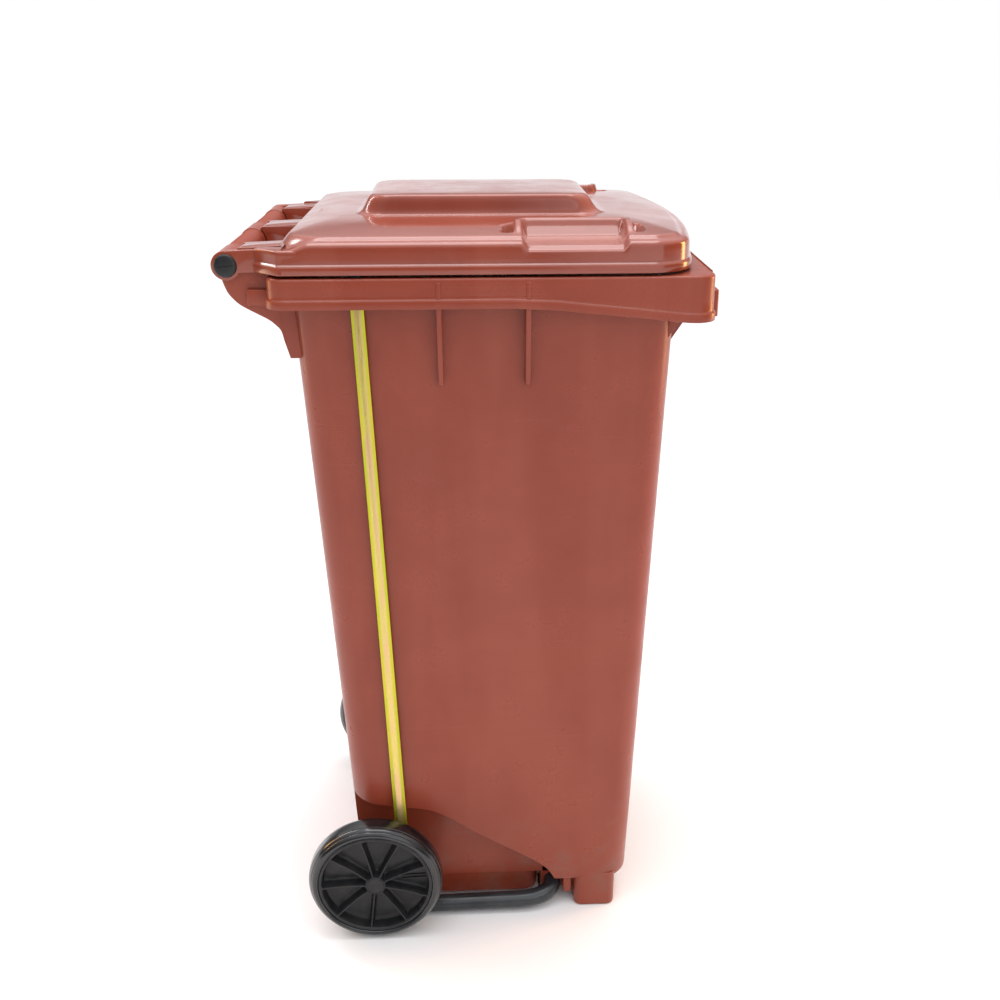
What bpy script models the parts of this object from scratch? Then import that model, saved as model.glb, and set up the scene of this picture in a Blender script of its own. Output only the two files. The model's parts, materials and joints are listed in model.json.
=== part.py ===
"""Pedal-operated two-wheeled waste bin, 120 litre class. Metres, +Z up, +X is the front, +Y the left.

The origin is on the floor under the middle of the bin's bounding box. Right-hand pieces are at -Y.
"""

import math

import bmesh
import bpy
from mathutils import Matrix, Vector

# Overall sizes
GAP = 0.0003            # clearance between touching pieces
RIM_HALF_WIDTH = 0.240
RIM_TOP = 0.8765
RIM_REAR = -0.216
RIM_FRONT = 0.265
LIP_FRONT = 0.2725
LIP_Z = (0.8255, 0.8545)
PLATEAU_TOP = 0.945

# Body shell
WALL = 0.004
BASE_Z = 0.041          # underside of the shell in front of the wheels
BODY_TOP = 0.874
CORNER = 0.036          # upright corner radius of the shell
SIDE_AT_FLOOR, SIDE_SLOPE = 0.1735, 0.0553
REAR_AT_FLOOR, REAR_SLOPE = -0.1595, -0.0394
FRONT_AT_FLOOR, FRONT_SLOPE = 0.2007, 0.0291
RECESS_Y = 0.150        # side wall inside the wheel recess
WELL_Y = 0.1465         # lowest part of the tub, between the pedal arms
WELL_X = (-0.160, 0.080)
WELL_Z = 0.008
FOOT_X = (0.1290, 0.1855)
FOOT_Y = (0.118, 0.1765)
TOE_HALF_WIDTH, TOE_REAR, TOE_TOP = 0.076, 0.120, 0.140
RIB_XS = (-0.033, 0.062)

# Hinge line of the lid, with the rear handle on it
HINGE = (-0.257, 0.8857)
ARM_RADIUS = 0.0155
KNUCKLE_RADIUS = 0.0150
GRIP_RADIUS = 0.0135
HANDLE_END = 0.1995
ARM_OUTER = (0.150, 0.205)
ARM_CENTRE = 0.027
EAR_Y = (0.1925, 0.1990)
EYE_Y = (0.201, 0.205)
PIN_BORE = 0.0085

# Lid
LID_HALF_WIDTH = 0.236
LID_BOTTOM = 0.8795
LID_SKIN = 0.0026
LID_REAR = -0.2045
CORNER_TOP = 0.9045
PLATEAU_X = (-0.131, 0.162)
PLATEAU_HALF_WIDTH = 0.095
PLATEAU_BASE = 0.918
GRIP_X = (0.0505, 0.1735)
GRIP_WALL = 0.005
GRIP_TOP = 0.9285

# Wheels
AXLE = (-0.138, 0.088)
AXLE_RADIUS = 0.009
WHEEL_RADIUS = 0.088
WHEEL_FACE = 0.2306     # outer face of the wheel, from the middle plane
WHEEL_WIDTH = 0.038
RIM_RADIUS = 0.0745
HUB_RADIUS = 0.0130
SPOKES = 9
SPOKE_PHASE = math.radians(22.8)

# Pedal frame and push rods
PIVOT = (0.101, 0.027)
TUBE_RADIUS = 0.0115
PEDAL_ARM_Y = 0.1775
CLAMP_Y = 0.134
CLAMP_SCREW_XS = (0.0866, 0.1160)
ROD_PIN = (-0.0998, 0.0135)
ROD_TOP = (-0.1204, 0.8915)
ROD_INNER_Y = 0.1808    # inner face of the strip at its lower pin
ROD_LEAN = 0.0540       # outward lean of the strip for each metre of height
ROD_WIDTH, ROD_THICK = 0.014, 0.003
ROD_SLOT_Y = (0.2228, 0.2345)   # slot in the rim; the strip sits further in when the pedal is down
PEDAL_TRAVEL = math.radians(20.0)
ROD_RATIO = 1.025       # rod swing on its pin for each degree of pedal
LIFT_RATIO = 1.45       # lid lift for each degree of pedal

BROWN = (0.332, 0.098, 0.063, 1.0)
BLACK_PLASTIC = (0.028, 0.030, 0.032, 1.0)
RUBBER = (0.018, 0.018, 0.019, 1.0)
DARK_STEEL = (0.035, 0.042, 0.048, 1.0)
BRIGHT_STEEL = (0.55, 0.56, 0.58, 1.0)
YELLOW_ZINC = (0.68, 0.66, 0.14, 1.0)


# ---------------------------------------------------------------- modelling helpers

def material(name, colour, roughness, metallic):
    made = bpy.data.materials.new(name)
    made.use_nodes = True
    shader = made.node_tree.nodes["Principled BSDF"]
    shader.inputs["Base Color"].default_value = colour
    shader.inputs["Roughness"].default_value = roughness
    shader.inputs["Metallic"].default_value = metallic
    return made


def add(name, mesh):
    piece = bpy.data.objects.new(name, mesh)
    bpy.context.scene.collection.objects.link(piece)
    return piece


def solid_from_rings(name, rings):
    """A closed solid through rings of equal length, each a list of (x, y, z)."""
    bm = bmesh.new()
    loops = [[bm.verts.new(point) for point in ring] for ring in rings]
    count = len(loops[0])
    for low, high in zip(loops, loops[1:]):
        for i in range(count):
            j = (i + 1) % count
            bm.faces.new((low[i], low[j], high[j], high[i]))
    bm.faces.new(list(reversed(loops[0])))
    bm.faces.new(loops[-1])
    bmesh.ops.recalc_face_normals(bm, faces=bm.faces)
    mesh = bpy.data.meshes.new(name)
    bm.to_mesh(mesh)
    bm.free()
    return add(name, mesh)


def plate_xz(name, outline, y0, y1):
    """An outline of (x, z) points, extruded from y0 to y1."""
    return solid_from_rings(name, [[(x, y, z) for x, z in outline] for y in (y0, y1)])


def plate_xy(name, outline, z0, z1):
    return solid_from_rings(name, [[(x, y, z) for x, y in outline] for z in (z0, z1)])


def plate_yz(name, outline, x0, x1):
    return solid_from_rings(name, [[(x, y, z) for y, z in outline] for x in (x0, x1)])


def block(name, x, y, z):
    return plate_xy(name, [(x[0], y[0]), (x[1], y[0]), (x[1], y[1]), (x[0], y[1])], *z)


def arc(centre, radius, start, end, steps):
    """Points on an arc, angles in degrees."""
    angles = [math.radians(start + (end - start) * i / steps) for i in range(steps + 1)]
    return [(centre[0] + radius * math.cos(a), centre[1] + radius * math.sin(a)) for a in angles]


def rounded_box(x, y, radius, steps=5):
    """A rectangle's outline with round corners."""
    corners = ((x[1], y[1], 0), (x[0], y[1], 90), (x[0], y[0], 180), (x[1], y[0], 270))
    points = []
    for cx, cy, start in corners:
        centre = (cx - math.copysign(radius, cx - sum(x) / 2), cy - math.copysign(radius, cy - sum(y) / 2))
        points += arc(centre, radius, start, start + 90, steps)
    return points


def turned(name, profile, segments, centre=(0.0, 0.0), phase=0.0):
    """A ring or a solid turned about a line along Y. profile is a closed list of (radius, y)."""
    bm = bmesh.new()
    turns = [phase + 2 * math.pi * i / segments for i in range(segments)]
    loops = []
    for radius, y in profile:
        if radius == 0:
            loops.append([bm.verts.new((centre[0], y, centre[1]))])
        else:
            loops.append([bm.verts.new((centre[0] + radius * math.cos(a), y, centre[1] + radius * math.sin(a)))
                          for a in turns])
    for low, high in zip(loops, loops[1:] + loops[:1]):
        for i in range(segments):
            j = (i + 1) % segments
            corners = [low[i % len(low)], low[j % len(low)], high[j % len(high)], high[i % len(high)]]
            face = list(dict.fromkeys(corners))
            if len(face) > 2:
                bm.faces.new(face)
    bmesh.ops.recalc_face_normals(bm, faces=bm.faces)
    mesh = bpy.data.meshes.new(name)
    bm.to_mesh(mesh)
    bm.free()
    return add(name, mesh)


def rod_y(name, centre, radius, y0, y1, segments=24):
    return turned(name, [(0, y0), (radius, y0), (radius, y1), (0, y1)], segments, centre)


def tube_along(name, points, radius, sides=14):
    """A round bar along a path of points."""
    path = [Vector(point) for point in points]
    rings = []
    side = None
    for i, point in enumerate(path):
        ahead = (path[min(i + 1, len(path) - 1)] - path[max(i - 1, 0)]).normalized()
        side = (side or ahead.orthogonal()).cross(ahead).cross(ahead).normalized() * -1
        across = ahead.cross(side)
        turns = [2 * math.pi * k / sides for k in range(sides)]
        rings.append([point + radius * (math.cos(a) * side + math.sin(a) * across) for a in turns])
    return solid_from_rings(name, rings)


def combine(target, tool, operation):
    """Joins the tool to the target, or cuts it out, and removes the tool."""
    modifier = target.modifiers.new("step", "BOOLEAN")
    modifier.operation = operation
    modifier.solver = "EXACT"
    modifier.object = tool
    bpy.context.view_layer.update()
    mesh = bpy.data.meshes.new_from_object(target.evaluated_get(bpy.context.evaluated_depsgraph_get()))
    target.modifiers.clear()
    target.data = mesh
    bpy.data.objects.remove(tool)


def join(target, *tools):
    for tool in tools:
        combine(target, tool, "UNION")


def cut(target, *tools):
    for tool in tools:
        combine(target, tool, "DIFFERENCE")


def finish(piece, name, surface):
    """Welds coincident points, keeps one clean triangulated skin and shades it by angle."""
    bm = bmesh.new()
    bm.from_mesh(piece.data)
    bmesh.ops.remove_doubles(bm, verts=bm.verts, dist=0.00001)
    bmesh.ops.dissolve_degenerate(bm, edges=bm.edges, dist=0.00001)
    bmesh.ops.triangulate(bm, faces=bm.faces)
    bmesh.ops.recalc_face_normals(bm, faces=bm.faces)
    bm.to_mesh(piece.data)
    bm.free()
    piece.data.shade_smooth()
    piece.data.set_sharp_from_angle(angle=math.radians(30))
    piece.data.materials.clear()
    piece.data.materials.append(surface)
    piece.name = name
    return piece


def about(piece, point):
    """Puts the piece's origin at a point, leaving its shape where it is."""
    piece.data.transform(Matrix.Translation(-Vector(point)))
    piece.location = point
    return piece


def both(outline):
    """The two sign pairs that mirror a range of y to the right and left side."""
    return ((-outline[1], -outline[0]), (outline[0], outline[1]))


def from_hinge(points):
    return [(HINGE[0] + dx, HINGE[1] + dz) for dx, dz in points]


# ---------------------------------------------------------------- body

def shell_ring(z, inset):
    x = (REAR_AT_FLOOR + REAR_SLOPE * z + inset, FRONT_AT_FLOOR + FRONT_SLOPE * z - inset)
    half = SIDE_AT_FLOOR + SIDE_SLOPE * z - inset
    return [(px, py, z) for px, py in rounded_box(x, (-half, half), CORNER - min(inset, 0.02))]


def recess_outline(grow):
    """Side view of the wheel and pedal-arm recess, from behind the rear wall to its front lower end."""
    edge = [(-0.200, 0.196), (-0.137, 0.184), (-0.104, 0.178), (-0.066, 0.172), (-0.040, 0.158),
            (-0.013, 0.138), (0.068, 0.085), (0.088, 0.069), (0.098, 0.055), (0.106, 0.036)]
    top = [(x + grow, z + grow) for x, z in edge]
    return [(-0.30, 0.196 + grow)] + top + [(0.106 + grow, -0.02), (-0.30, -0.02)]


def tub(inset, bottom, top):
    """The tapered tub, with its recesses and toe opening, as a solid."""
    rounding = [(0.000, 0.010), (0.003, 0.004), (0.010, 0.0)]
    rings = [shell_ring(bottom + dz, inset + extra) for dz, extra in rounding]
    rings += [shell_ring(z, inset) for z in (0.45, top)]
    solid = solid_from_rings("tub", rings)
    well_x = (WELL_X[0] + inset, WELL_X[1] - inset)
    well_y = WELL_Y - inset
    join(solid, plate_xy("well", rounded_box(well_x, (-well_y, well_y), 0.02 - inset, 3), WELL_Z + inset, 0.10))
    for side in both((RECESS_Y - inset, 0.30)):
        cut(solid, plate_xz("recess", recess_outline(inset), *side))
    half = TOE_HALF_WIDTH + inset
    toe = [(TOE_REAR - inset, BASE_Z - 0.03), (TOE_REAR - inset, TOE_TOP - 0.03), (TOE_REAR + 0.03, TOE_TOP + inset),
           (0.30, TOE_TOP + inset), (0.30, BASE_Z - 0.03)]
    cut(solid, plate_xz("toe", toe, -half, half))
    return solid


def rim():
    """The hanging skirt with its flat top, deeper towards the front."""
    outline = rounded_box((RIM_REAR, RIM_FRONT), (-RIM_HALF_WIDTH, RIM_HALF_WIDTH), 0.024)
    inner = rounded_box((RIM_REAR + 0.0035, RIM_FRONT - 0.0035), (-RIM_HALF_WIDTH + 0.0035, RIM_HALF_WIDTH - 0.0035),
                        0.0205)
    narrower = rounded_box((RIM_REAR + 0.0015, RIM_FRONT - 0.0015), (-RIM_HALF_WIDTH + 0.0015,
                           RIM_HALF_WIDTH - 0.0015), 0.0225)
    solid = solid_from_rings("rim", [[(x, y, 0.80) for x, y in outline],
                                     [(x, y, RIM_TOP - 0.0015) for x, y in outline],
                                     [(x, y, RIM_TOP) for x, y in narrower]])
    cut(solid, plate_xy("channel", inner, 0.79, RIM_TOP - 0.0035))
    below = [(-0.30, 0.70), (-0.30, 0.8445), (0.045, 0.8445), (0.062, 0.8440), (0.0955, 0.8420), (0.121, 0.8390),
             (0.181, 0.8330), (0.216, 0.8290), (0.240, 0.8270), (0.30, 0.8270), (0.30, 0.70)]
    cut(solid, plate_xz("below", below, -0.30, 0.30))
    return solid


def ear_outline():
    """Outer hinge ear: a disc flush under the lid's arm, then the long curved rear edge down to the wall."""
    filled = 0.0500
    top = 0.0155
    meet = math.degrees(math.asin(top / filled))
    rear = [(-0.0008, -0.0296), (0.0078, -0.0397), (0.0178, -0.0465), (0.0379, -0.0574), (0.0459, -0.0635),
            (0.0520, -0.0707), (0.0550, -0.0828), (0.0600, -0.1010), (0.0760, -0.1010)]
    front = [(0.0760, -0.0125)]
    round_top = arc((0, 0), filled, -14, meet, 3)
    behind = arc((0, 0), KNUCKLE_RADIUS, 90, 246, 8)
    return from_hinge(front + round_top + behind + rear)


def web_outline():
    return from_hinge([(0.004, -0.0100), (0.0122, -0.0100), (0.0480, -0.0365), (0.0600, -0.0600), (0.0760, -0.0600),
                       (0.0760, -0.0110), (0.0480, -0.0110), (0.0320, -0.0105), (0.0150, -0.0025), (0.004, 0.004)])


def handle_bar():
    """The hand bar on the hinge line, thicker inside the lid's three arms."""
    steps = [-HANDLE_END, -ARM_OUTER[0], -ARM_CENTRE, ARM_CENTRE, ARM_OUTER[0], HANDLE_END]
    radii = [KNUCKLE_RADIUS, GRIP_RADIUS, KNUCKLE_RADIUS, GRIP_RADIUS, KNUCKLE_RADIUS]
    profile = [(0, steps[0])]
    for radius, start, end in zip(radii, steps, steps[1:]):
        profile += [(radius, start), (radius, end)]
    return turned("bar", profile + [(0, steps[-1])], 24, HINGE)


def build_body(surface):
    body = tub(0.0, BASE_Z, BODY_TOP)
    join(body, rim())
    join(body, block("lip", (0.262, LIP_FRONT), (-0.200, 0.200), LIP_Z))
    for x in RIB_XS:
        for sign in (-1, 1):
            rib = [(0.205, 0.757), (0.2255, 0.757), (0.2385, 0.8500), (0.2385, 0.8750), (0.205, 0.8750)]
            join(body, plate_yz("rib", [(sign * y, z) for y, z in rib], x - 0.0035, x + 0.0035))
    for y in (-0.165, -0.055, 0.055, 0.165):
        gusset = [(0.215, 0.790), (0.2235, 0.790), (0.2480, 0.8290), (0.2480, 0.8750), (0.215, 0.8750)]
        join(body, plate_xz("gusset", gusset, y - 0.003, y + 0.003))
    for side in both(FOOT_Y):
        foot = rounded_box(FOOT_X, side, 0.012, 3)
        join(body, plate_xy("foot", foot, 0.0, BASE_Z + 0.012))
    for side in both((0.118, 0.150)):
        join(body, block("saddle", (0.084, 0.120), side, (0.0150, 0.060)))
    for side in both((0.118, 0.168)):
        join(body, block("stop", (0.1142, 0.1262), side, (0.0180, 0.055)))

    # Rear handle: bar, knuckles, ears and slanted webs
    join(body, handle_bar())
    for side in both((0.156, 0.1845)) + ((-0.0205, 0.0205),):
        join(body, plate_xz("web", web_outline(), *side))
    for side in both(EAR_Y):
        join(body, plate_xz("ear", ear_outline(), *side))
    for side in both((0.1985, 0.2060)):
        join(body, block("tab", (-0.2375, -0.200), side, (0.8440, 0.8605)))

    # The hollow inside, above the axle box
    hollow = tub(WALL, BASE_Z + WALL, 0.90)
    cut(hollow, block("axle_box", (-0.20, -0.112), (-0.20, 0.20), (0.0, 0.114)))
    cut(body, hollow)
    for y in ((-0.1465, -0.0550), (-0.0510, 0.0510), (0.0550, 0.1465)):
        cut(body, block("pocket", (-0.1545, -0.1160), y, (0.0, 0.1100)))
    cut(body, rod_y("axle_hole", AXLE, AXLE_RADIUS + 0.0004, -0.20, 0.20))

    # Seats for the pedal tube, slots for the push rods, bores for the hinge pins
    seat = arc(PIVOT, TUBE_RADIUS + 0.0004, 0, 180, 8)
    seat += [(PIVOT[0] - TUBE_RADIUS - 0.0004, 0.0), (PIVOT[0] + TUBE_RADIUS + 0.0004, 0.0)]
    for side in both((0.110, 0.160)):
        cut(body, plate_xz("seat", seat, *side))
        for x in CLAMP_SCREW_XS:
            hole = arc((x, math.copysign(CLAMP_Y, side[0])), 0.0017, 0, 315, 7)
            cut(body, plate_xy("screw_hole", hole, 0.0, 0.0280))
    for side in both(ROD_SLOT_Y):
        cut(body, block("rod_slot", (-0.1315, -0.1095), side, (0.868, 0.90)))
    for side in both((0.150, 0.25)):
        cut(body, rod_y("pin_bore", HINGE, PIN_BORE, *side, segments=20))
    return finish(body, "body", surface)


# ---------------------------------------------------------------- lid

def lid_outline(inset, bulge=0.018):
    """Plan of the lid in front of its rear edge: bowed front, large front corners, square rear."""
    half = LID_HALF_WIDTH - inset
    front = 0.2575 - inset
    corner = 0.052
    bow = [(front - bulge * (y / 0.2) ** 2, y) for y in (-0.185, -0.13, -0.065, 0.0, 0.065, 0.13, 0.185)]
    ends = arc((front - bulge - corner - 0.004, half - corner), corner, 20, 90, 5)
    right = [(x, -y) for x, y in reversed(ends)]
    rear = LID_REAR + inset
    chamfer = [(rear + 0.0050, half), (rear, half - 0.0052)]
    return right + bow + ends + chamfer + [(x, -y) for x, y in reversed(chamfer)]


def dome_rings(lower, bottom):
    """Rings of the lid from its skirt over the shoulder and the low dome."""
    steps = [(bottom, 0.0), (0.9050, 0.0012), (0.9105, 0.0035), (0.9135, 0.0085)]
    rings = [[(x, y, z - (lower if i else 0)) for x, y in lid_outline(lower + inset)]
             for i, (z, inset) in enumerate(steps)]
    middle = 0.03
    for z, shrink in ((0.9195, 0.80), (0.9235, 0.55)):
        rings.append([(middle + (x - middle) * shrink, y * shrink, z - lower) for x, y in lid_outline(lower + 0.0085)])
    return rings


def plateau(lower):
    low = rounded_box((PLATEAU_X[0] + lower, PLATEAU_X[1] - lower), (-PLATEAU_HALF_WIDTH + lower,
                      PLATEAU_HALF_WIDTH - lower), 0.030 - lower)
    high = rounded_box((PLATEAU_X[0] + 0.0235, PLATEAU_X[1] - 0.031), (-0.0865, 0.0865), 0.022)
    return solid_from_rings("plateau", [[(x, y, 0.912 - lower) for x, y in low],
                                        [(x, y, PLATEAU_BASE + 0.004 - lower) for x, y in low],
                                        [(x, y, PLATEAU_TOP - lower) for x, y in high]])


def eye_outline():
    return from_hinge([(0.0660, -0.0062), (0.0660, 0.0160), (0.0320, 0.0165)] +
                      arc((0, 0), ARM_RADIUS, 86, 330, 14) + [(0.0320, -0.0070)])


def cheek_outline():
    inner = arc((0, 0), KNUCKLE_RADIUS + 0.001, -22, 55, 4)
    return from_hinge([(0.0660, -0.0062), (0.0660, 0.0165), (0.0115, 0.0165)] + list(reversed(inner)) +
                      [(0.0320, -0.0070)])


def roof_outline():
    return from_hinge([(0.0115, 0.0138), (0.0660, 0.0140), (0.0660, 0.0175), (0.0115, 0.0168)])


def hood(y0, y1):
    """A hollow arm over a hinge web: two cheeks and a roof."""
    arm = plate_xz("arm", cheek_outline(), y0, y0 + 0.004)
    join(arm, plate_xz("cheek", cheek_outline(), y1 - 0.004, y1), plate_xz("roof", roof_outline(), y0, y1))
    return arm


def basin_line(inner, lower):
    """Section of a side grip's basin: a steep inner face, then a floor that falls to the open side."""
    floor = [(0.1625, 0.9265), (0.1780, 0.9120), (0.2180, 0.9060), (0.2330, 0.9020), (0.2600, 0.9020)]
    line = [(y + inner * (y < 0.20), z + lower) for y, z in floor]
    return [(line[0][0], 0.95)] + line + [(0.2600, 0.95)]


def build_lid(surface):
    lid = solid_from_rings("lid", dome_rings(0.0, LID_BOTTOM))
    rear_corner = [(-0.180, 0.205), (-0.2275, 0.205), (-0.2275, 0.2075), (-0.2000, 0.2355), (-0.1985, 0.236),
                   (-0.180, 0.236)]
    for sign in (-1, 1):
        corner = [(x, sign * y) for x, y in rear_corner]
        join(lid, plate_xy("corner", corner, LID_BOTTOM, CORNER_TOP))
    join(lid, plateau(0.0))
    frame = rounded_box(GRIP_X, (0.160, 0.2325), 0.014, 4)
    for sign in (-1, 1):
        join(lid, plate_xy("frame", [(x, sign * y) for x, y in frame], 0.905, GRIP_TOP))

    # Hollow underneath, with the basin of each side grip left standing in it
    inside = solid_from_rings("inside", dome_rings(LID_SKIN, LID_BOTTOM - 0.01))
    join(inside, plateau(LID_SKIN))
    for sign in (-1, 1):
        cut(inside, plate_yz("basin", [(sign * y, z) for y, z in basin_line(0.0, -LID_SKIN)], *GRIP_X))
    cut(lid, inside)
    hollow_corner = [(-0.175, 0.208), (-0.2245, 0.208), (-0.1988, 0.2330), (-0.175, 0.233)]
    dip_x = (GRIP_X[0] + GRIP_WALL, GRIP_X[1] - GRIP_WALL)
    for sign in (-1, 1):
        cut(lid, plate_xy("hollow", [(x, sign * y) for x, y in hollow_corner], 0.87, CORNER_TOP - LID_SKIN))
        cut(lid, plate_yz("dip", [(sign * y, z) for y, z in basin_line(GRIP_WALL, 0.0)], *dip_x))

    # The three arms and the outer eyes, with a slot between them for each of the body's ears
    for side in both((ARM_OUTER[0], 0.1905)) + ((-ARM_CENTRE, ARM_CENTRE),):
        join(lid, hood(*side))
    for side in both(EYE_Y):
        join(lid, plate_xz("eye", eye_outline(), *side))
        cut(lid, rod_y("eye_hole", HINGE, PIN_BORE, side[0] - 0.01, side[1] + 0.01, segments=20))
    return finish(about_hinge(lid), "lid", surface)


def about_hinge(piece):
    return about(piece, (HINGE[0], 0.0, HINGE[1]))


# ---------------------------------------------------------------- wheels and axle

def outward(sign, depths):
    """(radius, depth behind the wheel's outer face) turned into (radius, y) on one side."""
    return [(radius, sign * (WHEEL_FACE - depth)) for radius, depth in depths]


def build_wheel(sign, name, surface):
    back = WHEEL_WIDTH - 0.0015
    profile = [(RIM_RADIUS, 0.0020), (RIM_RADIUS, back), (0.0700, back), (0.0695, 0.0245), (0.0170, 0.0245),
               (0.0165, back + 0.0005), (0.0093, back + 0.0005), (0.0093, 0.0092), (0.0115, 0.0092),
               (0.0115, 0.0008), (HUB_RADIUS, 0.0016), (0.0138, 0.0205), (0.0695, 0.0205), (0.0700, 0.0020)]
    wheel = turned("wheel", outward(sign, profile), 40, AXLE)
    for k in range(SPOKES):
        fin = block("fin", (0.0125, 0.0720), (-0.0013, 0.0013), (0.0, 0.0185))
        angle = SPOKE_PHASE + 2 * math.pi * k / SPOKES
        # The fin's length runs along the wheel's radius, its height along the axle
        along = Vector((math.cos(angle), 0, math.sin(angle)))
        across = Vector((-math.sin(angle), 0, math.cos(angle)))
        depth = Vector((0, -sign, 0))
        frame = Matrix((along, across, depth)).transposed().to_4x4()
        start = Vector((AXLE[0], sign * (WHEEL_FACE - 0.0022), AXLE[1]))
        fin.data.transform(Matrix.Translation(start) @ frame)
        if frame.determinant() < 0:
            fin.data.flip_normals()
        join(wheel, fin)
    return finish(about(wheel, (AXLE[0], 0.0, AXLE[1])), name, surface)


def build_tyre(sign, name, surface):
    inner = RIM_RADIUS + GAP
    width = WHEEL_WIDTH
    profile = [(inner, 0.0010), (0.0775, 0.0), (0.0835, 0.0030), (0.0868, 0.0085), (WHEEL_RADIUS, 0.0150),
               (WHEEL_RADIUS, width - 0.0150), (0.0868, width - 0.0085), (0.0835, width - 0.0030), (0.0775, width),
               (inner, width - 0.0010)]
    tyre = turned("tyre", outward(sign, profile), 48, AXLE, phase=-math.pi / 2)
    return finish(about(tyre, (AXLE[0], 0.0, AXLE[1])), name, surface)


def ring_on_axle(name, surface, sign, bore, radius, depth0, depth1, segments=24):
    profile = outward(sign, [(bore, depth0), (radius, depth0), (radius, depth1), (bore, depth1)])
    piece = turned(name, profile, segments, AXLE)
    return finish(about(piece, (AXLE[0], 0.0, AXLE[1])), name, surface)


def build_axle_parts(plastic, bright, dark):
    end = WHEEL_FACE - 0.0055
    finish(about(rod_y("axle", AXLE, AXLE_RADIUS, -end, end), (AXLE[0], 0.0, AXLE[1])), "axle", bright)
    for sign, side in ((-1, "right"), (1, "left")):
        ring_on_axle(f"axle_clip_{side}", bright, sign, AXLE_RADIUS + GAP, 0.0112, 0.0065, 0.0085)
        inner = WHEEL_FACE - RECESS_Y - GAP
        ring_on_axle(f"axle_spacer_{side}", dark, sign, AXLE_RADIUS + GAP, 0.0125, WHEEL_WIDTH - 0.0007, inner)
        cap = outward(sign, [(0, 0.0004), (0.0090, 0.0004), (0.0112, 0.0016), (0.0112, 0.0046), (0, 0.0046)])
        finish(about(turned("cap", cap, 24, AXLE), (AXLE[0], 0.0, AXLE[1])), f"hub_cap_{side}", plastic)


# ---------------------------------------------------------------- hinge pins

def build_pin(sign, name, surface):
    profile = [(0, 0.2088), (0.0100, 0.2088), (0.0122, 0.2075), (0.0122, 0.2053), (PIN_BORE - 0.0004, 0.2053),
               (PIN_BORE - 0.0004, 0.1560), (0.0070, 0.1540), (0, 0.1540)]
    pin = turned("pin", [(radius, sign * y) for radius, y in profile], 24, HINGE)
    return finish(about(pin, (HINGE[0], sign * HANDLE_END, HINGE[1])), name, surface)


# ---------------------------------------------------------------- pedal frame and push rods

def curve_points(start, corner, end, steps):
    """A smooth bend from start to end, pulled towards the corner."""
    made = []
    for i in range(steps + 1):
        t = i / steps
        made.append(tuple((1 - t) ** 2 * a + 2 * t * (1 - t) * b + t * t * c for a, b, c in zip(start, corner, end)))
    return made


def build_pedal_frame(surface):
    rear = (-0.078, PEDAL_ARM_Y, ROD_PIN[1])
    bend = curve_points((0.052, PEDAL_ARM_Y, 0.0160), (0.0985, PEDAL_ARM_Y, 0.0180), (PIVOT[0], 0.152, PIVOT[1]), 5)
    half = [rear] + bend
    path = half + [(x, -y, z) for x, y, z in reversed(half)]
    frame = tube_along("frame", path, TUBE_RADIUS)
    for side in both((PEDAL_ARM_Y - 0.0025, PEDAL_ARM_Y + 0.0025)):
        lug = arc(ROD_PIN, 0.0105, 90, 270, 6) + [(-0.070, ROD_PIN[1] - 0.0095), (-0.070, ROD_PIN[1] + 0.0095)]
        join(frame, plate_xz("lug", lug, *side))
        cut(frame, rod_y("lug_hole", ROD_PIN, 0.0034, side[0] - 0.01, side[1] + 0.01, segments=16))

    # Lever: two flat bars from the cross tube to the pedal plate, tilted up to the front
    lever = [(0.100, 0.0190), (0.106, 0.0350), (0.157, 0.0510), (0.203, 0.0550), (0.203, 0.0520), (0.158, 0.0450)]
    for y in (-0.036, 0.031):
        join(frame, plate_xz("lever", lever, y, y + 0.005))
    plate = [(0.156, 0.0505), (0.2035, 0.0545), (0.2035, 0.0575), (0.156, 0.0535)]
    join(frame, plate_xz("plate", plate, -0.055, 0.055))
    return finish(about(frame, (PIVOT[0], 0.0, PIVOT[1])), "pedal_frame", surface)


def build_pedal_pad(surface):
    base = [(0.157, 0.0540), (0.2030, 0.0579), (0.2025, 0.0640), (0.157, 0.0600)]
    pad = plate_xz("pad", base, -0.054, 0.054)
    for k in range(4):
        x = 0.1625 + 0.0105 * k
        z = 0.0598 + 0.087 * (x - 0.157)
        join(pad, plate_xz("ridge", [(x, z - 0.001), (x + 0.004, z - 0.001), (x + 0.003, z + 0.0025),
                                     (x + 0.001, z + 0.0025)], -0.050, 0.050))
    return finish(about(pad, (PIVOT[0], 0.0, PIVOT[1])), "pedal_pad", surface)


def build_rod(sign, name, surface):
    """Flat strip from the pedal arm's pin, leaning with the body's side, to a round top end."""
    half = ROD_WIDTH / 2
    top = arc(ROD_TOP, half, 0, 180, 6)
    bottom = arc(ROD_PIN, half + 0.001, 180, 360, 6)
    rings = []
    for offset in (0.0, ROD_THICK):
        ring = [(x, sign * (ROD_INNER_Y + ROD_LEAN * (z - ROD_PIN[1]) + offset), z) for x, z in top + bottom]
        rings.append(ring)
    rod = solid_from_rings("rod", rings)
    hole = rod_y("hole", ROD_PIN, 0.0034, *sorted((sign * 0.17, sign * 0.19)), segments=16)
    cut(rod, hole)
    return finish(about(rod, (ROD_PIN[0], sign * ROD_INNER_Y, ROD_PIN[1])), name, surface)


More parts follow.
